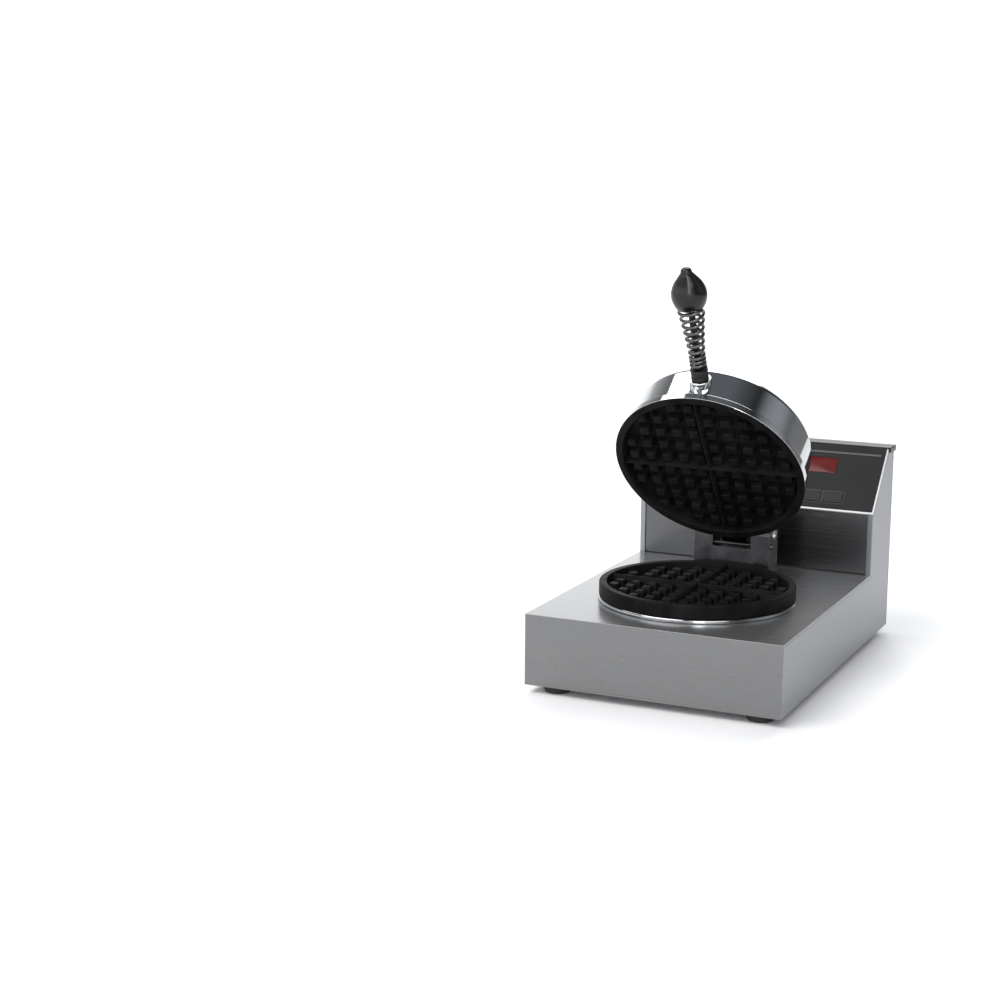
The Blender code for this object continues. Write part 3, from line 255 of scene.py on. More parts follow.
def moulded(name, colour, rough, grain_size=1600.0, depth=0.03 * MM, **more):
    """Plastic or rubber."""
    return speckled(name, colour, (times(colour, 0.85), times(colour, 1.15)), (rough - 0.06, rough + 0.06),
                    (grain_size, 2.0), (80.0, 2.0), (depth, 0.5), **more)


def aluminium_shaded_at_pin(name, colour, rough):
    """Cast aluminium, darkened round the hinge pin as painted shade, where the bracket closes round it."""
    made = Nodes(name, colour, rough, 1)
    grain = made.noise(made.coordinates(), 900.0, 4.0)
    where = made.add("ShaderNodeTexCoord")
    from_pin = made.add("ShaderNodeVectorMath", operation="SUBTRACT")
    from_pin.inputs[1].default_value = HINGE
    made.link(where.outputs["Object"], from_pin.inputs[0])
    flat = made.add("ShaderNodeVectorMath", operation="MULTIPLY")
    flat.inputs[1].default_value = (0, 1, 1)
    made.link(from_pin.outputs[0], flat.inputs[0])
    distance = made.add("ShaderNodeVectorMath", operation="LENGTH")
    made.link(flat.outputs[0], distance.inputs[0])
    # Painted shade: near black within 14 mm of the pin's axis, fading to the metal's colour by 22 mm.
    made.colour(distance.outputs["Value"], (0.02, 0.02, 0.02), colour, 14 * MM, 22 * MM)
    made.roughness(made.spread(grain, rough - 0.08, rough + 0.1))
    made.bump(grain, 0.08 * MM, 0.6)
    return made.material


def pressed_fibre(name):
    """Pale ceramic fibre board."""
    made = Nodes(name, (0.78, 0.75, 0.68), 0.95, 0)
    fibres = made.noise(made.coordinates((500, 500, 120)), 1.0, 5.0, 0.7)
    made.colour(fibres, (0.66, 0.62, 0.54), (0.86, 0.84, 0.78))
    made.bump(fibres, 0.3 * MM)
    return made.material


GRAIN_ACROSS = (8, 1300, 1300)
GRAIN_UPRIGHT = (1300, 1300, 8)
# Deck steel: its colour is scaled down below the deck's face and up above it, as painted shade and painted
# light.
DECK_STEEL = brushed("deck_steel", (0.18, 0.182, 0.185), GRAIN_ACROSS, 0.26, 0.31, 1.0, (0.72, 1.4))
SIDE_STEEL = brushed("side_steel", (0.27, 0.28, 0.30), GRAIN_UPRIGHT, 0.3, 0.36)
BACK_STEEL = brushed("back_steel", (0.13, 0.131, 0.135), GRAIN_ACROSS, 0.22, 0.28)
# The cap is the deck's stainless steel, its colour darkened far below the deck's as painted shade.
SHADED_CAP_STEEL = brushed("cap_steel_painted_shade", (0.048, 0.048, 0.05), GRAIN_ACROSS, 0.3, 0.36)
POLISHED = lathe_polished("polished_steel", (0.66, 0.67, 0.68), 0.05, 0.12)
RING_STEEL = lathe_polished("ring_steel", (0.40, 0.405, 0.415), 0.06, 0.14)
SPUN = (POLISHED, RING_STEEL)
COATING_SHADES = ((0.004, 0.004, 0.0045), (0.011, 0.0105, 0.0105))
CASTING = speckled("coated_casting", (0.006, 0.006, 0.0065), COATING_SHADES, (0.38, 0.52), (1400.0, 3.0),
                   (45.0, 3.0), (0.06 * MM, 0.5), gloss=0.05)
# The arm's aluminium, with painted shade round the hinge pin.
ALUMINIUM = aluminium_shaded_at_pin("cast_aluminium", (0.50, 0.51, 0.52), 0.4)
BRACKET = cast_metal("bracket_steel", (0.13, 0.13, 0.137), 0.34)
ZINC = cast_metal("zinc_plate", (0.55, 0.55, 0.54), 0.32)
SPRING = cast_metal("spring_wire", (0.12, 0.118, 0.115), 0.3)
BRONZE = cast_metal("bronze", (0.45, 0.30, 0.14), 0.35)
SHEATH = cast_metal("heater_sheath", (0.22, 0.20, 0.18), 0.5)
RUBBER = moulded("rubber", (0.014, 0.014, 0.015), 0.72, 900.0, 0.06 * MM)
PLASTIC = moulded("black_plastic", (0.009, 0.009, 0.01), 0.38, gloss=0.3)
ROCKER = moulded("rocker_plastic", (0.02, 0.02, 0.021), 0.24, coat=0.3)
KNOB = moulded("knob_black", (0.005, 0.005, 0.0055), 0.2, 900.0, 0.02 * MM, gloss=0.4)
KEY = moulded("key_grey", (0.014, 0.0145, 0.016), 0.46, gloss=0.22)
PRINT_SHADES = ((0.005, 0.0055, 0.006), (0.007, 0.0075, 0.008))
OVERLAY = speckled("overlay_print", (0.006, 0.0065, 0.007), PRINT_SHADES, (0.36, 0.48), (2500.0, 2.0),
                   (25.0, 2.0), (0.015 * MM, 0.5), gloss=0.18)
LABEL_GREY = moulded("label_grey", (0.07, 0.072, 0.075), 0.45, gloss=0.3)
LENS = moulded("red_lens", (0.10, 0.010, 0.010), 0.22, 700.0, 0.01 * MM, gloss=0.25)
BOARD = moulded("circuit_board", (0.015, 0.10, 0.045), 0.45)
FIBRE = pressed_fibre("ceramic_fibre")


# ---------------------------------------------------------------- mesh helpers
def new_object(name, data):
    made = bpy.data.objects.new(name, data)
    bpy.context.scene.collection.objects.link(made)
    return made


def arc(centre, radius, start, end, steps):
    """Points of an arc, with its angles in degrees."""
    angles = [math.radians(start + (end - start) * i / steps) for i in range(steps + 1)]
    return [(centre[0] + radius * math.cos(a), centre[1] + radius * math.sin(a)) for a in angles]


def rounded(path, radius, steps=6, closed=False):
    """A path with each of its corners turned into an arc. One radius, or one for each corner."""
    count = len(path)
    made = [] if closed else [Vector(path[0])]
    corners = range(count) if closed else range(1, count - 1)
    for i in corners:
        corner = Vector(path[i])
        bend = radius[i] if isinstance(radius, (list, tuple)) else radius
        if not bend:
            made.append(corner)
            continue
        back = (Vector(path[i - 1]) - corner).normalized()
        onward = (Vector(path[(i + 1) % count]) - corner).normalized()
        half_angle = back.angle(onward) / 2
        centre = corner + (back + onward).normalized() * bend / math.sin(half_angle)
        first = corner + back * bend / math.tan(half_angle) - centre
        turn = first.angle_signed(corner + onward * bend / math.tan(half_angle) - centre)
        for step in range(steps + 1):
            made.append(centre + Matrix.Rotation(-turn * step / steps, 2) @ first)
    if not closed:
        made.append(Vector(path[-1]))
    return made


def piece(name, bm, material, body=None, frame_at=None, angle=32):
    """A finished mesh as a piece of the object, or as a cutter where it has no body."""
    spun = material in SPUN
    if frame_at and not spun:
        bm.transform(frame_at)
    bmesh.ops.recalc_face_normals(bm, faces=bm.faces)
    mesh = bpy.data.meshes.new(name)
    bm.to_mesh(mesh)
    bm.free()
    made = new_object(name, mesh)
    if material:
        mesh.materials.append(material)
    mesh.shade_smooth()
    mesh.set_sharp_from_angle(angle=math.radians(angle))
    if frame_at and spun:
        made.matrix_world = frame_at
    if body:
        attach(made, body)
    return made


def turned(name, profile, material, body=None, frame_at=None, sides=FINE, closed=False, angle=32):
    """A profile of (radius, height) points turned about local Z."""
    bm = bmesh.new()
    points = [bm.verts.new((radius, 0, height)) for radius, height in profile]
    pairs = list(zip(points, points[1:]))
    if closed:
        pairs.append((points[-1], points[0]))
    edges = [bm.edges.new(pair) for pair in pairs]
    bmesh.ops.spin(bm, geom=points + edges, cent=(0, 0, 0), axis=(0, 0, 1), angle=2 * math.pi, steps=sides)
    bmesh.ops.remove_doubles(bm, verts=bm.verts, dist=1e-6)
    return piece(name, bm, material, body, frame_at, angle)


def prism(name, outline, thickness, material, body=None, frame_at=None, edge=0.0, segments=3, angle=32):
    """A flat outline in local XY, as thick to each side, with eased edges."""
    bm = bmesh.new()
    low = [bm.verts.new((p[0], p[1], -thickness / 2)) for p in outline]
    face = bm.faces.new(low)
    extruded = bmesh.ops.extrude_face_region(bm, geom=[face])
    moved = [item for item in extruded["geom"] if isinstance(item, bmesh.types.BMVert)]
    bmesh.ops.translate(bm, verts=moved, vec=(0, 0, thickness))
    bmesh.ops.recalc_face_normals(bm, faces=bm.faces)
    if edge:
        rim = [e for e in bm.edges if abs(e.verts[0].co.z - e.verts[1].co.z) < 1e-9]
        bmesh.ops.bevel(bm, geom=rim, offset=edge, segments=segments, affect="EDGES", profile=0.5,
                        clamp_overlap=True)
    return piece(name, bm, material, body, frame_at, angle)


def block(name, size, centre, material, body=None, frame_at=None, edge=0.0, segments=3, angle=32):
    """A box with eased edges."""
    bm = bmesh.new()
    bmesh.ops.create_cube(bm, size=1, matrix=Matrix.Translation(centre) @ Matrix.Diagonal((*size, 1)))
    if edge:
        bmesh.ops.bevel(bm, geom=bm.edges[:], offset=edge, segments=segments, affect="EDGES", profile=0.5)
    return piece(name, bm, material, body, frame_at, angle)


def rod(name, radius, start, end, material, body=None, frame_at=None, sides=48):
    start, end = Vector(start), Vector(end)
    along = end - start
    bm = bmesh.new()
    bmesh.ops.create_cone(
        bm,
        cap_ends=True,
        segments=sides,
        radius1=radius,
        radius2=radius,
        depth=along.length,
        matrix=Matrix.Translation((start + end) / 2) @ along.to_track_quat("Z", "Y").to_matrix().to_4x4(),
    )
    return piece(name, bm, material, body, frame_at)


def boolean(made, operation, others, angle=32):
    """Applies a Boolean at once, and removes what it was made with."""
    for other in others:
        step = made.modifiers.new("step", "BOOLEAN")
        step.operation = operation
        step.object = other
        step.solver = "EXACT"
    apply(made)
    for other in others:
        bpy.data.objects.remove(other)
    even_shading(made, angle)
    return made


def even_shading(made, angle=32):
    """Smooth normals that follow the large faces, so that flat sheet stays flat to the eye."""
    made.data.shade_smooth()
    made.data.set_sharp_from_angle(angle=math.radians(angle))
    weighted = made.modifiers.new("weighted", "WEIGHTED_NORMAL")
    weighted.keep_sharp = True
    apply(made)


def apply(made):
    """Turns the object's modifiers into plain mesh."""
    bpy.context.view_layer.update()
    graph = bpy.context.evaluated_depsgraph_get()
    mesh = bpy.data.meshes.new_from_object(made.evaluated_get(graph))
    made.modifiers.clear()
    made.data = mesh


def sheet(name, path, half_width, material, body, frame_at=None, cutters=(), bends=BEND):
    """A sheet bent along a path of (Y, Z) points, its outer face; its inside lies to the path's right."""
    points = rounded(path, bends)
    bm = bmesh.new()
    rows = [[bm.verts.new((x, p.x, p.y)) for p in points] for x in (-half_width, half_width)]
    for i in range(len(points) - 1):
        bm.faces.new((rows[0][i], rows[0][i + 1], rows[1][i + 1], rows[1][i]))
    if frame_at:
        bm.transform(frame_at)
    mesh = bpy.data.meshes.new(name)
    bm.to_mesh(mesh)
    bm.free()
    made = new_object(name, mesh)
    mesh.materials.append(material)
    thicken = made.modifiers.new("thickness", "SOLIDIFY")
    thicken.thickness = SHEET
    thicken.offset = 1
    thicken.use_even_offset = True
    apply(made)
    if cutters:
        boolean(made, "DIFFERENCE", cutters)
    soften(made)
    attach(made, body)
    return made


def soften(made, width=0.4 * MM, segments=3, angle=40):
    """Eases the edges that the eye would see as knife-sharp."""
    bevel = made.modifiers.new("edges", "BEVEL")
    bevel.width = width
    bevel.segments = segments
    bevel.limit_method = "ANGLE"
    bevel.angle_limit = math.radians(angle)
    apply(made)
    even_shading(made)
    return made


def place(x, back, up):
    """A point from the middle, the front face and the cabinet's bottom edge."""
    return Vector((x, FRONT + back, BASE + up))


def cabinet_path(points):
    return [(FRONT + back, BASE + up) for back, up in points]


def panel_frame(x, up_slope, out=0.0):
    """X across, Y up the slope and Z out of the panel, at a point on its face."""
    columns = Matrix((Vector((1, 0, 0)), SLOPE, SLOPE_OUT)).transposed()
    at = SLOPE_START + Vector((x, 0, 0)) + SLOPE * up_slope + SLOPE_OUT * out
    return Matrix.Translation(at) @ columns.to_4x4()


def closed_lid(up=0.0, forward=None):
    """A frame over the grid's middle, that far above the deck while closed, and turned with the lid."""
    reach = GRID_REACH if forward is None else forward
    return LID @ Matrix.Translation((0, -reach, up - HINGE_HEIGHT))


# ---------------------------------------------------------------- camera, floor and lights
def make_camera():
    """The camera stands to the front right, a little above the baker, and holds it right of the middle."""
    azimuth = math.radians(25.201)
    elevation = math.radians(11.256)
    roll = math.radians(0.343)
    away = 2.0527
    aim = Vector((0, FRONT + 186.9 * MM, BASE + 53.4 * MM))
    aside, rise = 225.48 * MM, -111.78 * MM
    back = Vector((math.sin(azimuth) * math.cos(elevation), -math.cos(azimuth) * math.cos(elevation),
                   math.sin(elevation)))
    right = Vector((math.cos(azimuth), math.sin(azimuth), 0))
    up = back.cross(right)
    across = right * math.cos(roll) + up * math.sin(roll)
    upright = up * math.cos(roll) - right * math.sin(roll)
    data = bpy.data.cameras.new("camera")
    data.lens = 70.06
    data.sensor_width = 36
    data.dof.use_dof = False
    data.clip_end = 100
    camera = new_object("camera", data)
    turn = Matrix((across, upright, back)).transposed().to_4x4()
    camera.matrix_world = Matrix.Translation(aim - across * aside - upright * rise + back * away) @ turn
    bpy.context.scene.camera = camera


def make_floor():
    bm = bmesh.new()
    bmesh.ops.create_circle(bm, cap_ends=True, segments=96, radius=3.2)
    floor = piece("floor", bm, None)
    paper = Nodes("floor_paper", (0.93, 0.93, 0.935), 0.6, 0)
    paper.roughness(paper.spread(paper.noise(paper.coordinates(), 6.0), 0.55, 0.7))
    floor.data.materials.append(paper.material)


def area_light(name, at, towards, size, power):
    data = bpy.data.lights.new(name, "AREA")
    data.shape = "RECTANGLE"
    data.size, data.size_y = size
    data.energy = power
    lamp = new_object(name, data)
    lamp.location = at
    lamp.rotation_euler = (Vector(towards) - Vector(at)).to_track_quat("-Z", "Y").to_euler()


def make_world():
    """A pale horizon under a darker ceiling, dim to the right, as in a studio with white paper walls."""
    world = bpy.data.worlds.new("studio")
    bpy.context.scene.world = world
    world.use_nodes = True
    tree = world.node_tree
    background = tree.nodes["Background"]
    where = tree.nodes.new("ShaderNodeTexCoord")

    def vector_math(operation, first=None, second=None):
        node = tree.nodes.new("ShaderNodeVectorMath")
        node.operation = operation
        for socket, source in zip(node.inputs, (first, second)):
            if source:
                tree.links.new(source, socket)
        return node

    def towards(direction, start, end, low, high, way="LINEAR"):
        """A number that runs from low to high as the sky turns towards a direction."""
        side = vector_math("DOT_PRODUCT", where.outputs["Generated"])
        side.inputs[1].default_value = direction
        number = tree.nodes.new("ShaderNodeMapRange")
        number.interpolation_type = way
        assign(number, {"From Min": start, "From Max": end, "To Min": low, "To Max": high})
        tree.links.new(side.outputs["Value"], number.inputs["Value"])
        return number.outputs["Result"]

    split = tree.nodes.new("ShaderNodeSeparateXYZ")
    tree.links.new(where.outputs["Generated"], split.inputs[0])
    ramp = tree.nodes.new("ShaderNodeValToRGB")
    tree.links.new(split.outputs[2], ramp.inputs[0])
    stops = ramp.color_ramp.elements
    stops[0].position, stops[0].color = 0.0, (0.98, 0.99, 1.0, 1)
    stops[1].position, stops[1].color = 1.0, (0.075, 0.08, 0.088, 1)
    for height, grey in ((0.20, 0.95), (0.32, 0.42), (0.50, 0.20), (0.62, 0.09)):
        stops.new(height).color = (0.97 * grey, 0.985 * grey, grey, 1)

    colour = ramp.outputs[0]
    right_wall = ((0.94, 0.34, 0), 0.2, 0.65, 1.0, 0.13)
    left_wall = ((-0.94, 0.34, 0), 0.75, 0.95, 1.0, 0.6)
    for wall in (right_wall, left_wall):
        shade = vector_math("SCALE", colour)
        tree.links.new(towards(*wall), shade.inputs["Scale"])
        colour = shade.outputs[0]
    glow = vector_math("SCALE")
    glow.inputs[0].default_value = (0.88, 0.94, 1.0)
    amount = towards((0.877, 0.226, 0.424), 0.87, 0.985, 0.0, 0.22, "SMOOTHSTEP")
    tree.links.new(amount, glow.inputs["Scale"])
    total = vector_math("ADD", colour, glow.outputs[0])
    tree.links.new(total.outputs[0], background.inputs["Color"])
    background.inputs["Strength"].default_value = 1.7


def sun(name, travel, power):
    data = bpy.data.lights.new(name, "SUN")
    data.energy = power
    data.angle = math.radians(40)
    new_object(name, data).rotation_euler = Vector(travel).to_track_quat("-Z", "Y").to_euler()


def make_lights():
    sun("sun_left", (0.35, 0.50, -0.79), 1.8)
    sun("sun_right", (-0.45, 0.62, -0.64), 0.8)
    sun("sun_back", (0.1, -0.66, -0.74), 1.2)
    middle = (0, 0, 0.25)
    area_light("key_left", (-1.26, 0.40, 1.88), middle, (1.0, 0.8), 8)
    area_light("fill_front", (0.95, -2.4, 1.2), middle, (0.5, 2.0), 16)


# ---------------------------------------------------------------- cabinet
DECK_OPENING = 92 * MM
VENT_ROWS = (110 * MM, 150 * MM)
VENTS = 7
VENT_PITCH = 22 * MM
VENT_SIZE = (4 * MM, 26 * MM)
GLAND_HOLE = 7.3 * MM
COVER_SCREWS_X = (-120 * MM, 0, 120 * MM)
COVER_SCREWS_UP = (14 * MM, 188 * MM)


def side_outline():
    under = SHEET + GAP
    slope_down = under / SLOPE.y
    roof = CONSOLE_TOP - BASE - 2 * under
    foot = SLOPE_FOOT - BASE - slope_down
    front = CONSOLE_FRONT - FRONT
    rise = SLOPE.z / SLOPE.y
    deck = DECK - BASE
    back = BACK - FRONT
    return cabinet_path([
        (under, 0),
        (under, deck - under),
        (front, deck - under),
        (front, foot),
        (front + (roof - foot) / rise, roof),
        (back - under, roof),
        (back - under, 0),
    ])


def inset(outline, distance):
    """A clockwise outline with every side moved inwards."""
    made = []
    for i, corner in enumerate(outline):
        corner = Vector(corner)
        before = (corner - Vector(outline[i - 1])).normalized()
        after = (Vector(outline[(i + 1) % len(outline)]) - corner).normalized()
        first = Vector((before.y, -before.x))
        second = Vector((after.y, -after.x))
        made.append(corner + (first + second) * distance / (1 + first.dot(second)))
    return made


def side_clearances(name):
    """Cutters that free a wrapped sheet from both side panels."""
    reach = 20 * MM
    outline = inset(side_outline(), -0.8 * GAP)
    return [prism(f"{name}_{side}", outline, reach, None,
                  frame_at=Matrix.Translation((side * (HALF - FLANGE - GAP + reach / 2), 0, 0)) @ Y_TO_X)
            for side in (-1, 1)]


def make_cabinet():
    deck = DECK - BASE
    back = BACK - FRONT
    front = CONSOLE_FRONT - FRONT
    through = Vector((0, 0, FLANGE))
    opening = rod("deck_opening", DECK_OPENING, GRID - through, GRID + through, None, sides=96)
    path = [(FLANGE, 0), (0, 0), (0, deck), (front + 2 * FLANGE, deck)]
    made = sheet("deck_and_front", cabinet_path(path), HALF, DECK_STEEL, "base",
                 cutters=[opening, *side_clearances("deck_end")], bends=0)
    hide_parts("deck_and_apron")

    for side, word in ((-1, "left"), (1, "right")):
        outline = side_outline()
        middle = Matrix.Translation((side * (HALF - FLANGE / 2), 0, 0))
        outer = prism(f"side_{word}", rounded(outline, 1 * MM, 4, closed=True), FLANGE, SIDE_STEEL,
                      frame_at=middle @ Y_TO_X, edge=0.7 * MM)
        hollow = prism("side_hollow", inset(outline, SHEET), FLANGE, None,
                       frame_at=Matrix.Translation((side * (HALF - SHEET - FLANGE / 2), 0, 0)) @ Y_TO_X)
        boolean(outer, "DIFFERENCE", [hollow])
        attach(outer, "base")
        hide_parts(f"side_panel_{word}")

    splash_back = front + SHEET + GAP
    foot = SLOPE_FOOT - BASE - 2 * SHEET
    path = [(splash_back + FLANGE, deck + GAP), (splash_back, deck + GAP), (splash_back, foot - GAP)]
    made = sheet("splash_plate", cabinet_path(path), HALF - SHEET - GAP, BACK_STEEL, "base", bends=1.5 * MM)
    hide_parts("backsplash")

    head = CONSOLE_TOP - BASE - SHEET - GAP
    lean = SLOPE.y / SLOPE.z
    slope_y = [front + (height - (SLOPE_FOOT - BASE)) * lean for height in (foot, head)]
    path = [(front + 2 * FLANGE, foot), (slope_y[0], foot), (slope_y[1], head), (back, head)]
    made = sheet("console_sheet", cabinet_path(path), HALF, DECK_STEEL, "base",
                 cutters=[*side_clearances("console_end"), *panel_cutters("console")])
    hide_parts("control_panel")

    edge = cap_high.x
    half_depth = (cap_high.y - cap_low.y) / 2
    path = [(-edge, cap_low.z), (-edge, cap_high.z), (edge, cap_high.z), (edge, cap_low.z)]
    middle = Matrix.Translation((0, (cap_low.y + cap_high.y) / 2, 0))
    crosswise = Matrix.Rotation(-math.pi / 2, 4, "Z")
    made = sheet("console_cap", path, half_depth, SHADED_CAP_STEEL, "base", middle @ crosswise)
    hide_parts("top_cap")


def make_rear():
    """The rear cover with its vents and screws, the bottom pan, the feet and the gland."""
    back = BACK - FRONT
    path = [(back, cover_high.z - BASE), (back, 0), (back - FLANGE, 0)]
    vents = []
    for up in VENT_ROWS:
        for i in range(VENTS):
            vents.append(slot_cutter((i - VENTS // 2) * VENT_PITCH, BACK, BASE + up, *VENT_SIZE))
    gland_low, gland_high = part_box("cord_gland")
    gland_x = (gland_low.x + gland_high.x) / 2
    gland_z = (gland_low.z + gland_high.z) / 2
    inner, outer = Vector((gland_x, BACK - FLANGE, gland_z)), Vector((gland_x, BACK + FLANGE, gland_z))
    vents.append(rod("gland_hole", GLAND_HOLE, inner, outer, None, sides=64))
    made = sheet("back_cover", cabinet_path(path), HALF, SIDE_STEEL, "base",
                 cutters=[*side_clearances("cover_end"), *vents])
    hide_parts("rear_cover")
    for x in COVER_SCREWS_X:
        for up in COVER_SCREWS_UP:
            cover_screw(f"cover_screw_{round(x * 1000)}_{round(up * 1000)}", x, up)

    carry("bottom_pan", SIDE_STEEL)
    for word in ("front_left", "front_right", "rear_left", "rear_right"):
        make_foot(word)
    carry("cord_gland", PLASTIC, 0.4 * MM)
    carry("gland_nut", PLASTIC)


def slot_cutter(x, y, z, width, height):
    """A cutter for one upright vent with round ends."""
    radius = width / 2
    straight = height / 2 - radius
    outline = [*arc((0, straight), radius, 0, 180, 10), *arc((0, -straight), radius, 180, 360, 10)]
    return prism("vent", outline, 4 * FLANGE, None,
                 frame_at=Matrix.Translation((x, y, z)) @ Matrix.Rotation(math.pi / 2, 4, "X"))


def cover_screw(name, x, up):
    """A cross-recessed pan head on the rear cover."""
    at = Matrix.Translation(place(x, BACK - FRONT, up)) @ Matrix.Rotation(-math.pi / 2, 4, "X")
    profile = [
        (0, 1.9 * MM),
        (1.4 * MM, 1.85 * MM),
        (2.6 * MM, 1.5 * MM),
        (3.3 * MM, 0.8 * MM),
        (3.4 * MM, 0.05 * MM),
        (3.4 * MM, -0.3 * MM),
        (0, -0.3 * MM),
    ]
    head = turned(name, profile, ZINC, frame_at=at, sides=32)
    cross = [block("cross", (3 * MM, 0.7 * MM, 1.6 * MM), (0, 0, 1.7 * MM), None,
                   frame_at=at @ Matrix.Rotation(turn, 4, "Z")) for turn in (0.3, 0.3 + math.pi / 2)]
    boolean(head, "DIFFERENCE", cross)
    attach(head, "base")


def make_foot(word):
    low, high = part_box(f"foot_{word}")
    x, y = (low.x + high.x) / 2, (low.y + high.y) / 2
    radius = (high.x - low.x) / 2
    top = high.z
    bore = 2.3 * MM
    cup = 4.9 * MM
    cup_depth = 5 * MM
    profile = [
        (bore, top),
        *arc((radius - 0.8 * MM, top - 0.8 * MM), 0.8 * MM, 90, 0, 4),
        (radius, 7 * MM),
        (radius - 1.3 * MM, 1.8 * MM),
        *arc((radius - 3.3 * MM, 1.6 * MM), 1.6 * MM, 0, -90, 5),
        (5.4 * MM, 0),
        (cup, 0.5 * MM),
        (cup, cup_depth),
        (bore, cup_depth),
    ]
    at = Matrix.Translation((x, y, 0))
    made = turned(f"rubber_foot_{word}", profile, RUBBER, "base", at, 72, closed=True)
    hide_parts(f"foot_{word}")
    carry(f"foot_screw_{word}", ZINC)


def carry(node, material, edge=0.0):
    """A CAD piece that stays, with its finish and eased edges."""
    made = frame["nodes"][node]
    made.data.materials.clear()
    made.data.materials.append(material)
    weld = made.modifiers.new("weld", "WELD")
    weld.merge_threshold = 1e-6
    if edge:
        bevel = made.modifiers.new("edges", "BEVEL")
        bevel.width = edge
        bevel.segments = 3
        bevel.limit_method = "ANGLE"
        bevel.angle_limit = math.radians(35)
    return made


# ---------------------------------------------------------------- controls
KEY_ROW = 16 * MM
KEY_SIZE = (22.2 * MM, 13.6 * MM)
KEYS = {word: middle_x(f"key_{word}") for word in ("left", "middle", "right")}
WINDOW = (middle_x("display_window"), 56.7 * MM)
WINDOW_SIZE = (width("display_window"), 19.5 * MM)
SWITCH = (middle_x("switch_housing"), 31 * MM)
SWITCH_HOLE = (20.3 * MM, 33.7 * MM)
BEZEL_SIZE = (width("switch_housing"), 37 * MM)
OVERLAY_TOP = 0.8 * MM
PRINT = 0.06 * MM


def round_box(size, radius, steps=6):
    half_x, half_y = size[0] / 2, size[1] / 2
    corners = [(-half_x, -half_y), (-half_x, half_y), (half_x, half_y), (half_x, -half_y)]
    return rounded(corners, radius, steps, closed=True)


def grown(size, margin):
    return (size[0] + 2 * margin, size[1] + 2 * margin)


def panel_cutters(name):
    """Cutters for the window, the keys and the switch."""
    clear = 0.35 * MM
    deep = 9 * MM
    window = round_box(grown(WINDOW_SIZE, clear), 1 * MM)
    key = round_box(grown(KEY_SIZE, clear), 1.8 * MM)
    switch = round_box(SWITCH_HOLE, 0.5 * MM)
    holes = [("window", window, *WINDOW), *[(f"key_{word}", key, x, KEY_ROW) for word, x in KEYS.items()],
             ("switch", switch, *SWITCH)]
    return [prism(f"{name}_{part}", outline, deep, None, frame_at=panel_frame(x, up_slope))
            for part, outline, x, up_slope in holes]


def strip(name, size, x, up_slope):
    """A printed stripe on the overlay."""
    made = prism(name, round_box(size, min(size) * 0.3, 4), PRINT, LABEL_GREY, "base",
                 panel_frame(x, up_slope, OVERLAY_TOP + PRINT / 2))


def frame_line(name, size, x, up_slope, line):
    """A printed outline on the overlay."""
    at = panel_frame(x, up_slope, OVERLAY_TOP + PRINT / 2)
    outer = prism(name, round_box(size, 2.4 * MM), PRINT, LABEL_GREY, frame_at=at)
    inner = prism(name + "_hole", round_box(grown(size, -line), 2 * MM), 1 * MM, None, frame_at=at)
    boolean(outer, "DIFFERENCE", [inner])
    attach(outer, "base")


def make_controls():
    thickness = 0.5 * MM
    size = (2 * HALF - 3.6 * MM, SLOPE_LENGTH - 3.5 * MM)
    overlay = prism("panel_overlay", round_box(size, 1.2 * MM), thickness, OVERLAY,
                    frame_at=panel_frame(0, SLOPE_LENGTH / 2, OVERLAY_TOP - thickness / 2), edge=0.1 * MM)
    boolean(overlay, "DIFFERENCE", panel_cutters("overlay"))
    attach(overlay, "base")
    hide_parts("control_overlay")
    strip("overlay_line", (2 * HALF - 12 * MM, 2.2 * MM), 0, 74 * MM)
    for word, x in KEYS.items():
        frame_line(f"key_outline_{word}", grown(KEY_SIZE, 1 * MM), x, KEY_ROW, 0.45 * MM)

    window = prism("window_lens", round_box(WINDOW_SIZE, 0.8 * MM), 2 * MM, LENS, "base",
                   panel_frame(*WINDOW, OVERLAY_TOP - 1 * MM), edge=0.3 * MM)
    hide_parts("display_window")

    top = OVERLAY_TOP + 0.9 * MM
    depth = 4.2 * MM
    flange_size = (KEY_SIZE[0] + 1.6 * MM, KEY_SIZE[1] + 3 * MM, 1 * MM)
    for word, x in KEYS.items():
        cap = prism(f"key_cap_{word}", round_box(KEY_SIZE, 1.6 * MM), depth, KEY,
                    frame_at=panel_frame(x, KEY_ROW, top - depth / 2), edge=0.45 * MM)
        flange = block("key_flange", flange_size, (0, 0, -2 * MM), None, frame_at=panel_frame(x, KEY_ROW))
        boolean(cap, "UNION", [flange])
        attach(cap, f"{word}_key")
        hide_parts(f"key_{word}")
    make_switch()
    carry("display_module", PLASTIC)
    carry("control_board", BOARD)


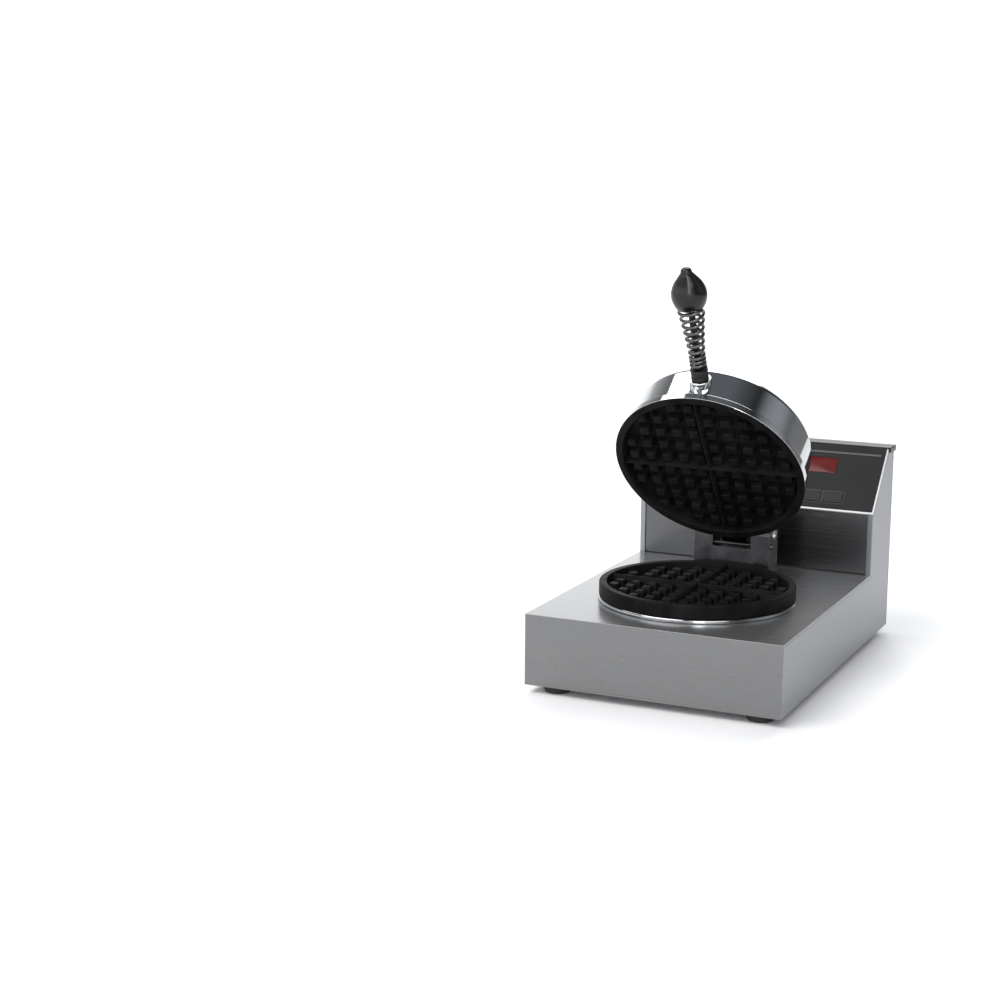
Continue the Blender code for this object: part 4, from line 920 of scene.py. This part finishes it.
def make_switch():
    """The switch's bezel and body in one, hollow to its mouth, and the rocker in it, tipped to one side."""
    seat = OVERLAY_TOP + GAP
    rim = 2.2 * MM
    bezel = prism("switch_bezel", round_box(BEZEL_SIZE, 1.5 * MM), rim, PLASTIC,
                  frame_at=panel_frame(*SWITCH, seat + rim / 2), edge=0.6 * MM)
    depth = 21 * MM
    body = block("switch_body", (19.6 * MM, 33 * MM, depth), (0, 0, seat + 0.5 * MM - depth / 2), None,
                 frame_at=panel_frame(*SWITCH))
    mouth = prism("switch_mouth", round_box((16 * MM, 30.8 * MM), 0.8 * MM), 12 * MM, None,
                  frame_at=panel_frame(*SWITCH, seat - 3 * MM))
    boolean(bezel, "UNION", [body])
    boolean(bezel, "DIFFERENCE", [mouth])
    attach(bezel, "base")
    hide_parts("switch_housing")

    half = 14 * MM
    sag = 1.7 * MM
    crest = 4.1 * MM
    heel = (half * 0.62, -3.4 * MM)
    steps = 16
    hollow = []
    for i in range(steps + 1):
        across = 1 - 2 * i / steps
        hollow.append((-half * across, crest + sag * across ** 2))
    outline = [*hollow, (half, 3 * MM), heel, (-heel[0], heel[1]), (-half, 3 * MM)]
    pivot = panel_frame(*SWITCH, -1.5 * MM) @ Matrix.Rotation(math.radians(9), 4, "X")
    rocker = prism("rocker", outline, 15 * MM, ROCKER, frame_at=pivot @ Y_TO_X, edge=0.45 * MM, angle=40)
    mark = block("mark_on", (0.9 * MM, 5 * MM, 0.7 * MM), (0, 8 * MM, 5.2 * MM), None, frame_at=pivot)
    boolean(rocker, "DIFFERENCE", [mark], 40)
    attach(rocker, "power_rocker")
    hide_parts("switch_rocker")


# ---------------------------------------------------------------- baking grids
FIELD = 93 * MM
FLOOR_DEPTH = 12 * MM
GRID_DEPTH = 20 * MM
STUD_DROP = 4 * MM
STUD_FOOT = 13.2 * MM
STUD_HEAD = 9.6 * MM
STUDS_REACH = 90 * MM
PITCH = 18 * MM
RIDGE_FOOT = 10 * MM
RIDGE_DROP = 1.2 * MM
FIELD_END = FIELD - 0.1 * MM
GRID_RADIUS = (grid_high.x - grid_low.x) / 2


def add_studs(casting):
    """Adds the square studs and the two ridges between the quarters, all sunk in the floor and the rim."""
    field = bmesh.new()
    field.from_mesh(casting.data)
    sunk = 2 * MM
    height = FLOOR_DEPTH - STUD_DROP + sunk
    rows = math.ceil(STUDS_REACH / PITCH)
    for row in range(-rows, rows):
        for column in range(-rows, rows):
            centre = Vector(((column + 0.5) * PITCH, (row + 0.5) * PITCH, -STUD_DROP - height / 2))
            if centre.xy.length < STUDS_REACH:
                add_mesh(field, stud(centre, height))
    floor = -FLOOR_DEPTH - sunk
    crest = arc((0, -RIDGE_DROP - 1 * MM), 1 * MM, 160, 20, 6)
    section = [(-RIDGE_FOOT / 2, floor), *crest, (RIDGE_FOOT / 2, floor)]
    for turn in (0, math.pi / 2):
        along = Matrix.Rotation(turn, 4, "Z") @ Y_TO_X
        ridge = prism("ridge", section, 2 * FIELD_END, None, frame_at=along)
        mesh = ridge.data
        bpy.data.objects.remove(ridge)
        add_mesh(field, mesh)
    field.to_mesh(casting.data)
    field.free()
    even_shading(casting, 38)


def stud(centre, height):
    """One tapered square stud with a rounded head, cut off flat where it runs into the rim."""
    bm = bmesh.new()
    at = Matrix.Translation(centre) @ Matrix.Rotation(math.pi / 4, 4, "Z")
    bmesh.ops.create_cone(bm, cap_ends=True, segments=4, radius1=STUD_FOOT / math.sqrt(2),
                          radius2=STUD_HEAD / math.sqrt(2), depth=height, matrix=at)
    upper = [edge for edge in bm.edges if max(v.co.z for v in edge.verts) > centre.z]
    bmesh.ops.bevel(bm, geom=upper, offset=1.5 * MM, segments=3, affect="EDGES", profile=0.5)
    outwards = Vector((centre.x, centre.y, 0)).normalized()
    bmesh.ops.bisect_plane(bm, geom=[*bm.verts, *bm.edges, *bm.faces], plane_co=outwards * FIELD_END,
                           plane_no=outwards, clear_outer=True)
    bmesh.ops.holes_fill(bm, edges=[edge for edge in bm.edges if edge.is_boundary])
    bmesh.ops.recalc_face_normals(bm, faces=bm.faces)
    mesh = bpy.data.meshes.new("stud")
    bm.to_mesh(mesh)
    bm.free()
    return mesh


def add_mesh(bm, mesh):
    bm.from_mesh(mesh)
    bpy.data.meshes.remove(mesh)


def make_grid(name, node, body, frame_at, edge, behind_rim):
    """A dished casting, its rim plane at local zero and its face up; the back of its profile is given."""
    profile = [
        (0, -FLOOR_DEPTH),
        (FIELD - 4.5 * MM, -FLOOR_DEPTH),
        (FIELD - 2.6 * MM, -FLOOR_DEPTH + 0.8 * MM),
        (FIELD - 1.8 * MM, -FLOOR_DEPTH + 2.6 * MM),
        (FIELD - 0.7 * MM, -1.6 * MM),
        *arc((FIELD + 1 * MM, -1.6 * MM), 1.6 * MM, 170, 90, 4),
        *arc((GRID_RADIUS - edge, -edge), edge, 90, 0, 6),
        *behind_rim,
        (0, -GRID_DEPTH),
    ]
    made = turned(name, profile, CASTING)
    add_studs(made)
    made.data.transform(frame_at)
    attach(made, body)
    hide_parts(node)


def make_lower_side():
    wall = 14.1 * MM
    spigot = 86 * MM
    behind_rim = [(GRID_RADIUS, -wall + 0.5 * MM), (GRID_RADIUS - 0.5 * MM, -wall), (spigot, -wall),
                  (spigot, -GRID_DEPTH)]
    face_up = Matrix.Translation((GRID.x, GRID.y, grid_high.z))
    make_grid("grid_casting_lower", "lower_grid", "base", face_up, 1.8 * MM, behind_rim)
    outer = (ring_high.x - ring_low.x) / 2
    top = ring_high.z - DECK
    lip = 91.7 * MM
    profile = [
        (lip - SHEET, top - 0.6 * MM),
        (lip - SHEET + 0.6 * MM, top),
        (outer - 2.6 * MM, top),
        *arc((outer - 2.2 * MM, top - 2.2 * MM), 2.2 * MM, 80, 0, 7),
        (outer, GAP + 0.2 * MM),
        (outer - 0.2 * MM, GAP),
        (lip, GAP),
        (lip, ring_low.z - DECK),
        (lip - SHEET, ring_low.z - DECK),
    ]
    made = turned("trim_ring", profile, RING_STEEL, "base", Matrix.Translation(GRID), closed=True, angle=45)
    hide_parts("lower_trim_ring")


# ---------------------------------------------------------------- lid
DRUM_RADIUS = 95.7 * MM
DRUM_FOOT = 27.3 * MM
DRUM_TOP = 76.5 * MM
DRUM_SHOULDER = 9.7 * MM
DRUM_CROWN = 2.5 * MM
SKIRT_RADIUS = width("lid_drum") / 2
SKIRT_FOOT = 20.4 * MM
UPPER_RIM = 19.1 * MM
ARM_BOTTOM = 76.9 * MM
ARM_TOP = 97.5 * MM
ARM_WIDTH = 27 * MM
ARM_FRONT = 64 * MM
ARM_REAR = 77 * MM
ARM_BOSS = 12 * MM
ARM_BORE = 6.3 * MM
YOKE_WIDTH = width("hinge_arm")
YOKE_BOTTOM = 19.7 * MM


def make_drum():
    flat_edge = DRUM_RADIUS - DRUM_SHOULDER
    crown = [(flat_edge * i / 12, DRUM_TOP - DRUM_CROWN * (i / 12) ** 2) for i in range(13)]
    shoulder = arc((flat_edge, DRUM_TOP - DRUM_CROWN - DRUM_SHOULDER), DRUM_SHOULDER, 86, 0, 14)
    foot = DRUM_FOOT + SHEET
    root = arc((DRUM_RADIUS + 1.5 * MM, foot + 1.5 * MM), 1.5 * MM, 180, 270, 5)
    turn = arc((SKIRT_RADIUS - 1 * MM, foot - 1 * MM), 1 * MM, 90, 0, 4)
    outside = [*crown, *shoulder, *root, *turn, (SKIRT_RADIUS, SKIRT_FOOT + 0.2 * MM),
               (SKIRT_RADIUS - 0.2 * MM, SKIRT_FOOT)]
    inner = DRUM_RADIUS - SHEET
    inside = [
        (SKIRT_RADIUS - SHEET, SKIRT_FOOT),
        (SKIRT_RADIUS - SHEET, DRUM_FOOT),
        (inner + 1 * MM, DRUM_FOOT),
        (inner, DRUM_FOOT + 1 * MM),
        *arc((flat_edge, DRUM_TOP - DRUM_CROWN - DRUM_SHOULDER), DRUM_SHOULDER - SHEET, 0, 86, 8),
        (0, DRUM_TOP - SHEET),
    ]
    drum = turned("drum_shell", outside + inside, POLISHED, frame_at=closed_lid(), sides=192, angle=40)
    stud = rod("stud_hole", 4 * MM, (0, 0, -6 * MM), (0, 0, 6 * MM), None, frame_at=handle_frame())
    boolean(drum, "DIFFERENCE", [stud], 40)
    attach(drum, "lid")
    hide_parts("lid_drum")
    face_down = closed_lid(UPPER_RIM) @ Matrix.Rotation(math.pi, 4, "X")
    lip = 1 * MM
    wall = 7.9 * MM
    radius = 99.1 * MM
    spigot = 93.5 * MM
    behind_rim = [(GRID_RADIUS, -lip), (radius, -lip), (radius, -wall), (spigot, -wall),
                  (spigot, -GRID_DEPTH)]
    make_grid("grid_casting_upper", "upper_grid", "lid", face_down, 0.8 * MM, behind_rim)


def make_arm():
    """The hinge arm: a long bar over the drum, a sloping back, a cross piece and a boss round the pin."""
    bottom = ARM_BOTTOM - HINGE_HEIGHT
    top = ARM_TOP - HINGE_HEIGHT
    front = -GRID_REACH - ARM_FRONT
    rear = -GRID_REACH + ARM_REAR
    outline = [
        (front, bottom),
        (front, top),
        (rear, top),
        (-6 * MM, bottom + 6 * MM),
        (ARM_BOSS, bottom - 3 * MM),
        *arc((0, 0), ARM_BOSS, 0, -180, 20),
        (-ARM_BOSS, bottom),
    ]
    bends = [1.5 * MM, 5 * MM, 12 * MM, 4 * MM, 2 * MM] + [0] * 21 + [3 * MM]
    arm = prism("arm_casting", rounded(outline, bends, 6, closed=True), ARM_WIDTH, ALUMINIUM,
                frame_at=LID @ Y_TO_X, edge=1.8 * MM, segments=4, angle=40)
    yoke_top = bottom - 0.5 * MM
    yoke_middle = (0, 2 * MM, (yoke_top + YOKE_BOTTOM) / 2)
    yoke = block("arm_yoke", (YOKE_WIDTH, 20 * MM, yoke_top - YOKE_BOTTOM), yoke_middle, None,
                 frame_at=LID, edge=1.8 * MM, segments=4)
    boolean(arm, "UNION", [yoke], 40)
    bore = rod("arm_bore", ARM_BORE, (-50 * MM, 0, 0), (50 * MM, 0, 0), None, frame_at=LID, sides=64)
    slot = prism("arm_slot", round_box((12 * MM, 7 * MM), 1.5 * MM), 14 * MM, None,
                 frame_at=closed_lid(ARM_TOP, GRID_REACH + 2 * MM))
    boolean(arm, "DIFFERENCE", [bore, slot], 40)
    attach(arm, "lid")
    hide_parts("hinge_arm")
    carry("hinge_bushing", BRONZE)
    for word in ("front", "rear"):
        carry(f"arm_bolt_{word}", ZINC)


# ---------------------------------------------------------------- handle
COIL_WIRE = 1.7 * MM
FERRULE_END = 17 * MM
COIL_END = 87.5 * MM
KNOB_END = 129.5 * MM
HANDLE_RISE = math.radians(12)
GRIP_BORE = 3.8 * MM
COIL_RADIUS = 7 * MM
COIL_FLARE = 5.8 * MM


def handle_frame():
    """Z runs out along the handle from the drum's front wall."""
    tilt = Matrix.Rotation(math.pi / 2 - HANDLE_RISE, 4, "X")
    return closed_lid(HINGE_HEIGHT, GRID_REACH + DRUM_RADIUS) @ tilt


def make_coil():
    close_pitch, open_pitch = 4.4 * MM, 7.7 * MM
    first = FERRULE_END + COIL_WIRE + GAP
    close_until = 33 * MM
    last = COIL_END - COIL_WIRE - GAP
    per_turn = 36
    points = []
    along, angle = first, 0.0
    while along < last:
        share = max(0.0, (along - close_until) / (last - close_until))
        radius = COIL_RADIUS + COIL_FLARE * share ** 1.4
        points.append((radius * math.cos(angle), radius * math.sin(angle), along))
        mix = min(1.0, max(0.0, (along - close_until + 3 * MM) / (6 * MM)))
        along += (close_pitch + (open_pitch - close_pitch) * mix) / per_turn
        angle += 2 * math.pi / per_turn
    curve = bpy.data.curves.new("grip_coil", "CURVE")
    curve.dimensions = "3D"
    curve.bevel_depth = COIL_WIRE
    curve.bevel_resolution = 4
    curve.use_fill_caps = True
    spline = curve.splines.new("POLY")
    spline.points.add(len(points) - 1)
    for point, spot in zip(spline.points, points):
        point.co = (*spot, 1)
    guide = new_object("coil_guide", curve)
    graph = bpy.context.evaluated_depsgraph_get()
    mesh = bpy.data.meshes.new_from_object(guide.evaluated_get(graph))
    bpy.data.objects.remove(guide)
    bm = bmesh.new()
    bm.from_mesh(mesh)
    bmesh.ops.remove_doubles(bm, verts=bm.verts, dist=1e-6)
    coil = piece("grip_coil", bm, SPRING, "lid", handle_frame(), 60)
    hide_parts("handle_coil")


def make_handle():
    frame_at = handle_frame()
    wall = rod("collar_seat", DRUM_RADIUS + GAP, (0, 0, -30 * MM), (0, 0, 30 * MM), None,
               frame_at=closed_lid(HINGE_HEIGHT), sides=192)
    radius = width("handle_collar") / 2
    top = 5 * MM
    edge = 1.2 * MM
    profile = [
        (GRIP_BORE, top),
        *arc((radius - edge, top - edge), edge, 90, 0, 5),
        (radius, -top),
        (GRIP_BORE, -top),
    ]
    collar = turned("grip_collar", profile, POLISHED, frame_at=frame_at, sides=96, closed=True)
    boolean(collar, "DIFFERENCE", [wall])
    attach(collar, "lid")
    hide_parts("handle_collar")
    low = top + GAP
    bead = 8.9 * MM
    profile = [
        (GRIP_BORE, FERRULE_END),
        *arc((7.6 * MM, FERRULE_END - 1.4 * MM), 1.4 * MM, 90, 0, 5),
        (bead - 0.5 * MM, low + 3 * MM),
        (bead, low + 2.4 * MM),
        (bead, low + 0.4 * MM),
        (bead - 0.4 * MM, low),
        (GRIP_BORE, low),
    ]
    ferrule = turned("grip_ferrule", profile, PLASTIC, "lid", frame_at, 72, closed=True)
    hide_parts("handle_ferrule")
    make_coil()
    knob = turned("grip_knob", knob_profile(), KNOB, "lid", frame_at, 96, angle=50)
    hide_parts("handle_knob")
    carry("handle_stud", PLASTIC)
    carry("handle_nut", ZINC)


def knob_profile():
    """A pointed drop: a blunt tip, a full belly and a waist that meets the coil, as a smooth curve."""
    keys = [(0, 0), (3.5, 0.5), (5.3, 2.4), (6.2, 5.5), (9.9, 10.6), (14, 16.2), (16.9, 22.4), (17.9, 28.2),
            (17.5, 33.4), (15.9, 38.6), (14.2, 42)]
    points = [Vector((radius, -down)) * MM for radius, down in keys]
    steps = 5
    outside = []
    for i, (p, q) in enumerate(zip(points, points[1:])):
        before = points[max(0, i - 1)]
        after = points[min(len(points) - 1, i + 2)]
        for step in range(steps):
            t = step / steps
            spot = 0.5 * (2 * p + (q - before) * t + (2 * before - 5 * p + 4 * q - after) * t * t
                          + (3 * p - before - 3 * q + after) * t ** 3)
            outside.append((max(0.0, spot.x), KNOB_END + min(0.0, spot.y)))
    outside[0] = (0, KNOB_END)
    socket = KNOB_END - 23 * MM
    return [*outside, (13.2 * MM, COIL_END), (GRIP_BORE, COIL_END), (GRIP_BORE, socket), (0, socket)]


# ---------------------------------------------------------------- hinge and hidden parts
def make_hinge():
    carry("hinge_bracket", BRACKET, 0.7 * MM)
    half = (bracket_high.x - bracket_low.x) / 2
    head = 6.2 * MM
    shank = 4 * MM
    profile = [
        (0, half + 3.2 * MM),
        *arc((0, half - 6.3 * MM), 9.5 * MM, 84, 52, 6),
        (head, half + 1 * MM),
        (head, half + GAP),
        (shank, half + GAP),
        (shank, -half - 3.6 * MM),
        (shank - 0.4 * MM, -half - 4 * MM),
        (0, -half - 4 * MM),
    ]
    pin = turned("hinge_rod", profile, POLISHED, "base",
                 Matrix.Translation(HINGE) @ Matrix.Rotation(math.pi / 2, 4, "Y"), 64)
    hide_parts("hinge_pin")
    carry("pin_clip", ZINC)
    low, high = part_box("bracket_tie_rod")
    bulge = [
        (0, high.x),
        (1.4 * MM, high.x - 0.15 * MM),
        (2.5 * MM, high.x - 0.7 * MM),
        (3.2 * MM, high.x - 1.6 * MM),
        (3.3 * MM, half + GAP),
        (2 * MM, half + GAP),
    ]
    profile = [*bulge, *[(radius, -height) for radius, height in reversed(bulge)]]
    middle = Matrix.Translation((0, (low.y + high.y) / 2, (low.z + high.z) / 2))
    tie = turned("tie_rod", profile, BRACKET, "base", middle @ Matrix.Rotation(math.pi / 2, 4, "Y"), 48)
    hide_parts("bracket_tie_rod")
    for word in ("left", "right"):
        carry(f"bracket_screw_{word}", ZINC)


def make_hidden():
    for side in ("lower", "upper"):
        carry(f"{side}_heater", SHEATH)
        carry(f"{side}_clamp_plate", ZINC)
        carry(f"{side}_insulation", FIBRE)
        carry(f"{side}_probe", ZINC)
    carry("lower_pan", SIDE_STEEL)
    carry("transformer", ZINC, 0.5 * MM)
    carry("power_relay", PLASTIC, 0.5 * MM)
    carry("terminal_block", PLASTIC)


bpy.context.scene.view_settings.view_transform = "Standard"
make_camera()
make_floor()
make_world()
make_lights()
make_cabinet()
make_rear()
make_controls()
make_lower_side()
make_drum()
make_arm()
make_handle()
make_hinge()
make_hidden()
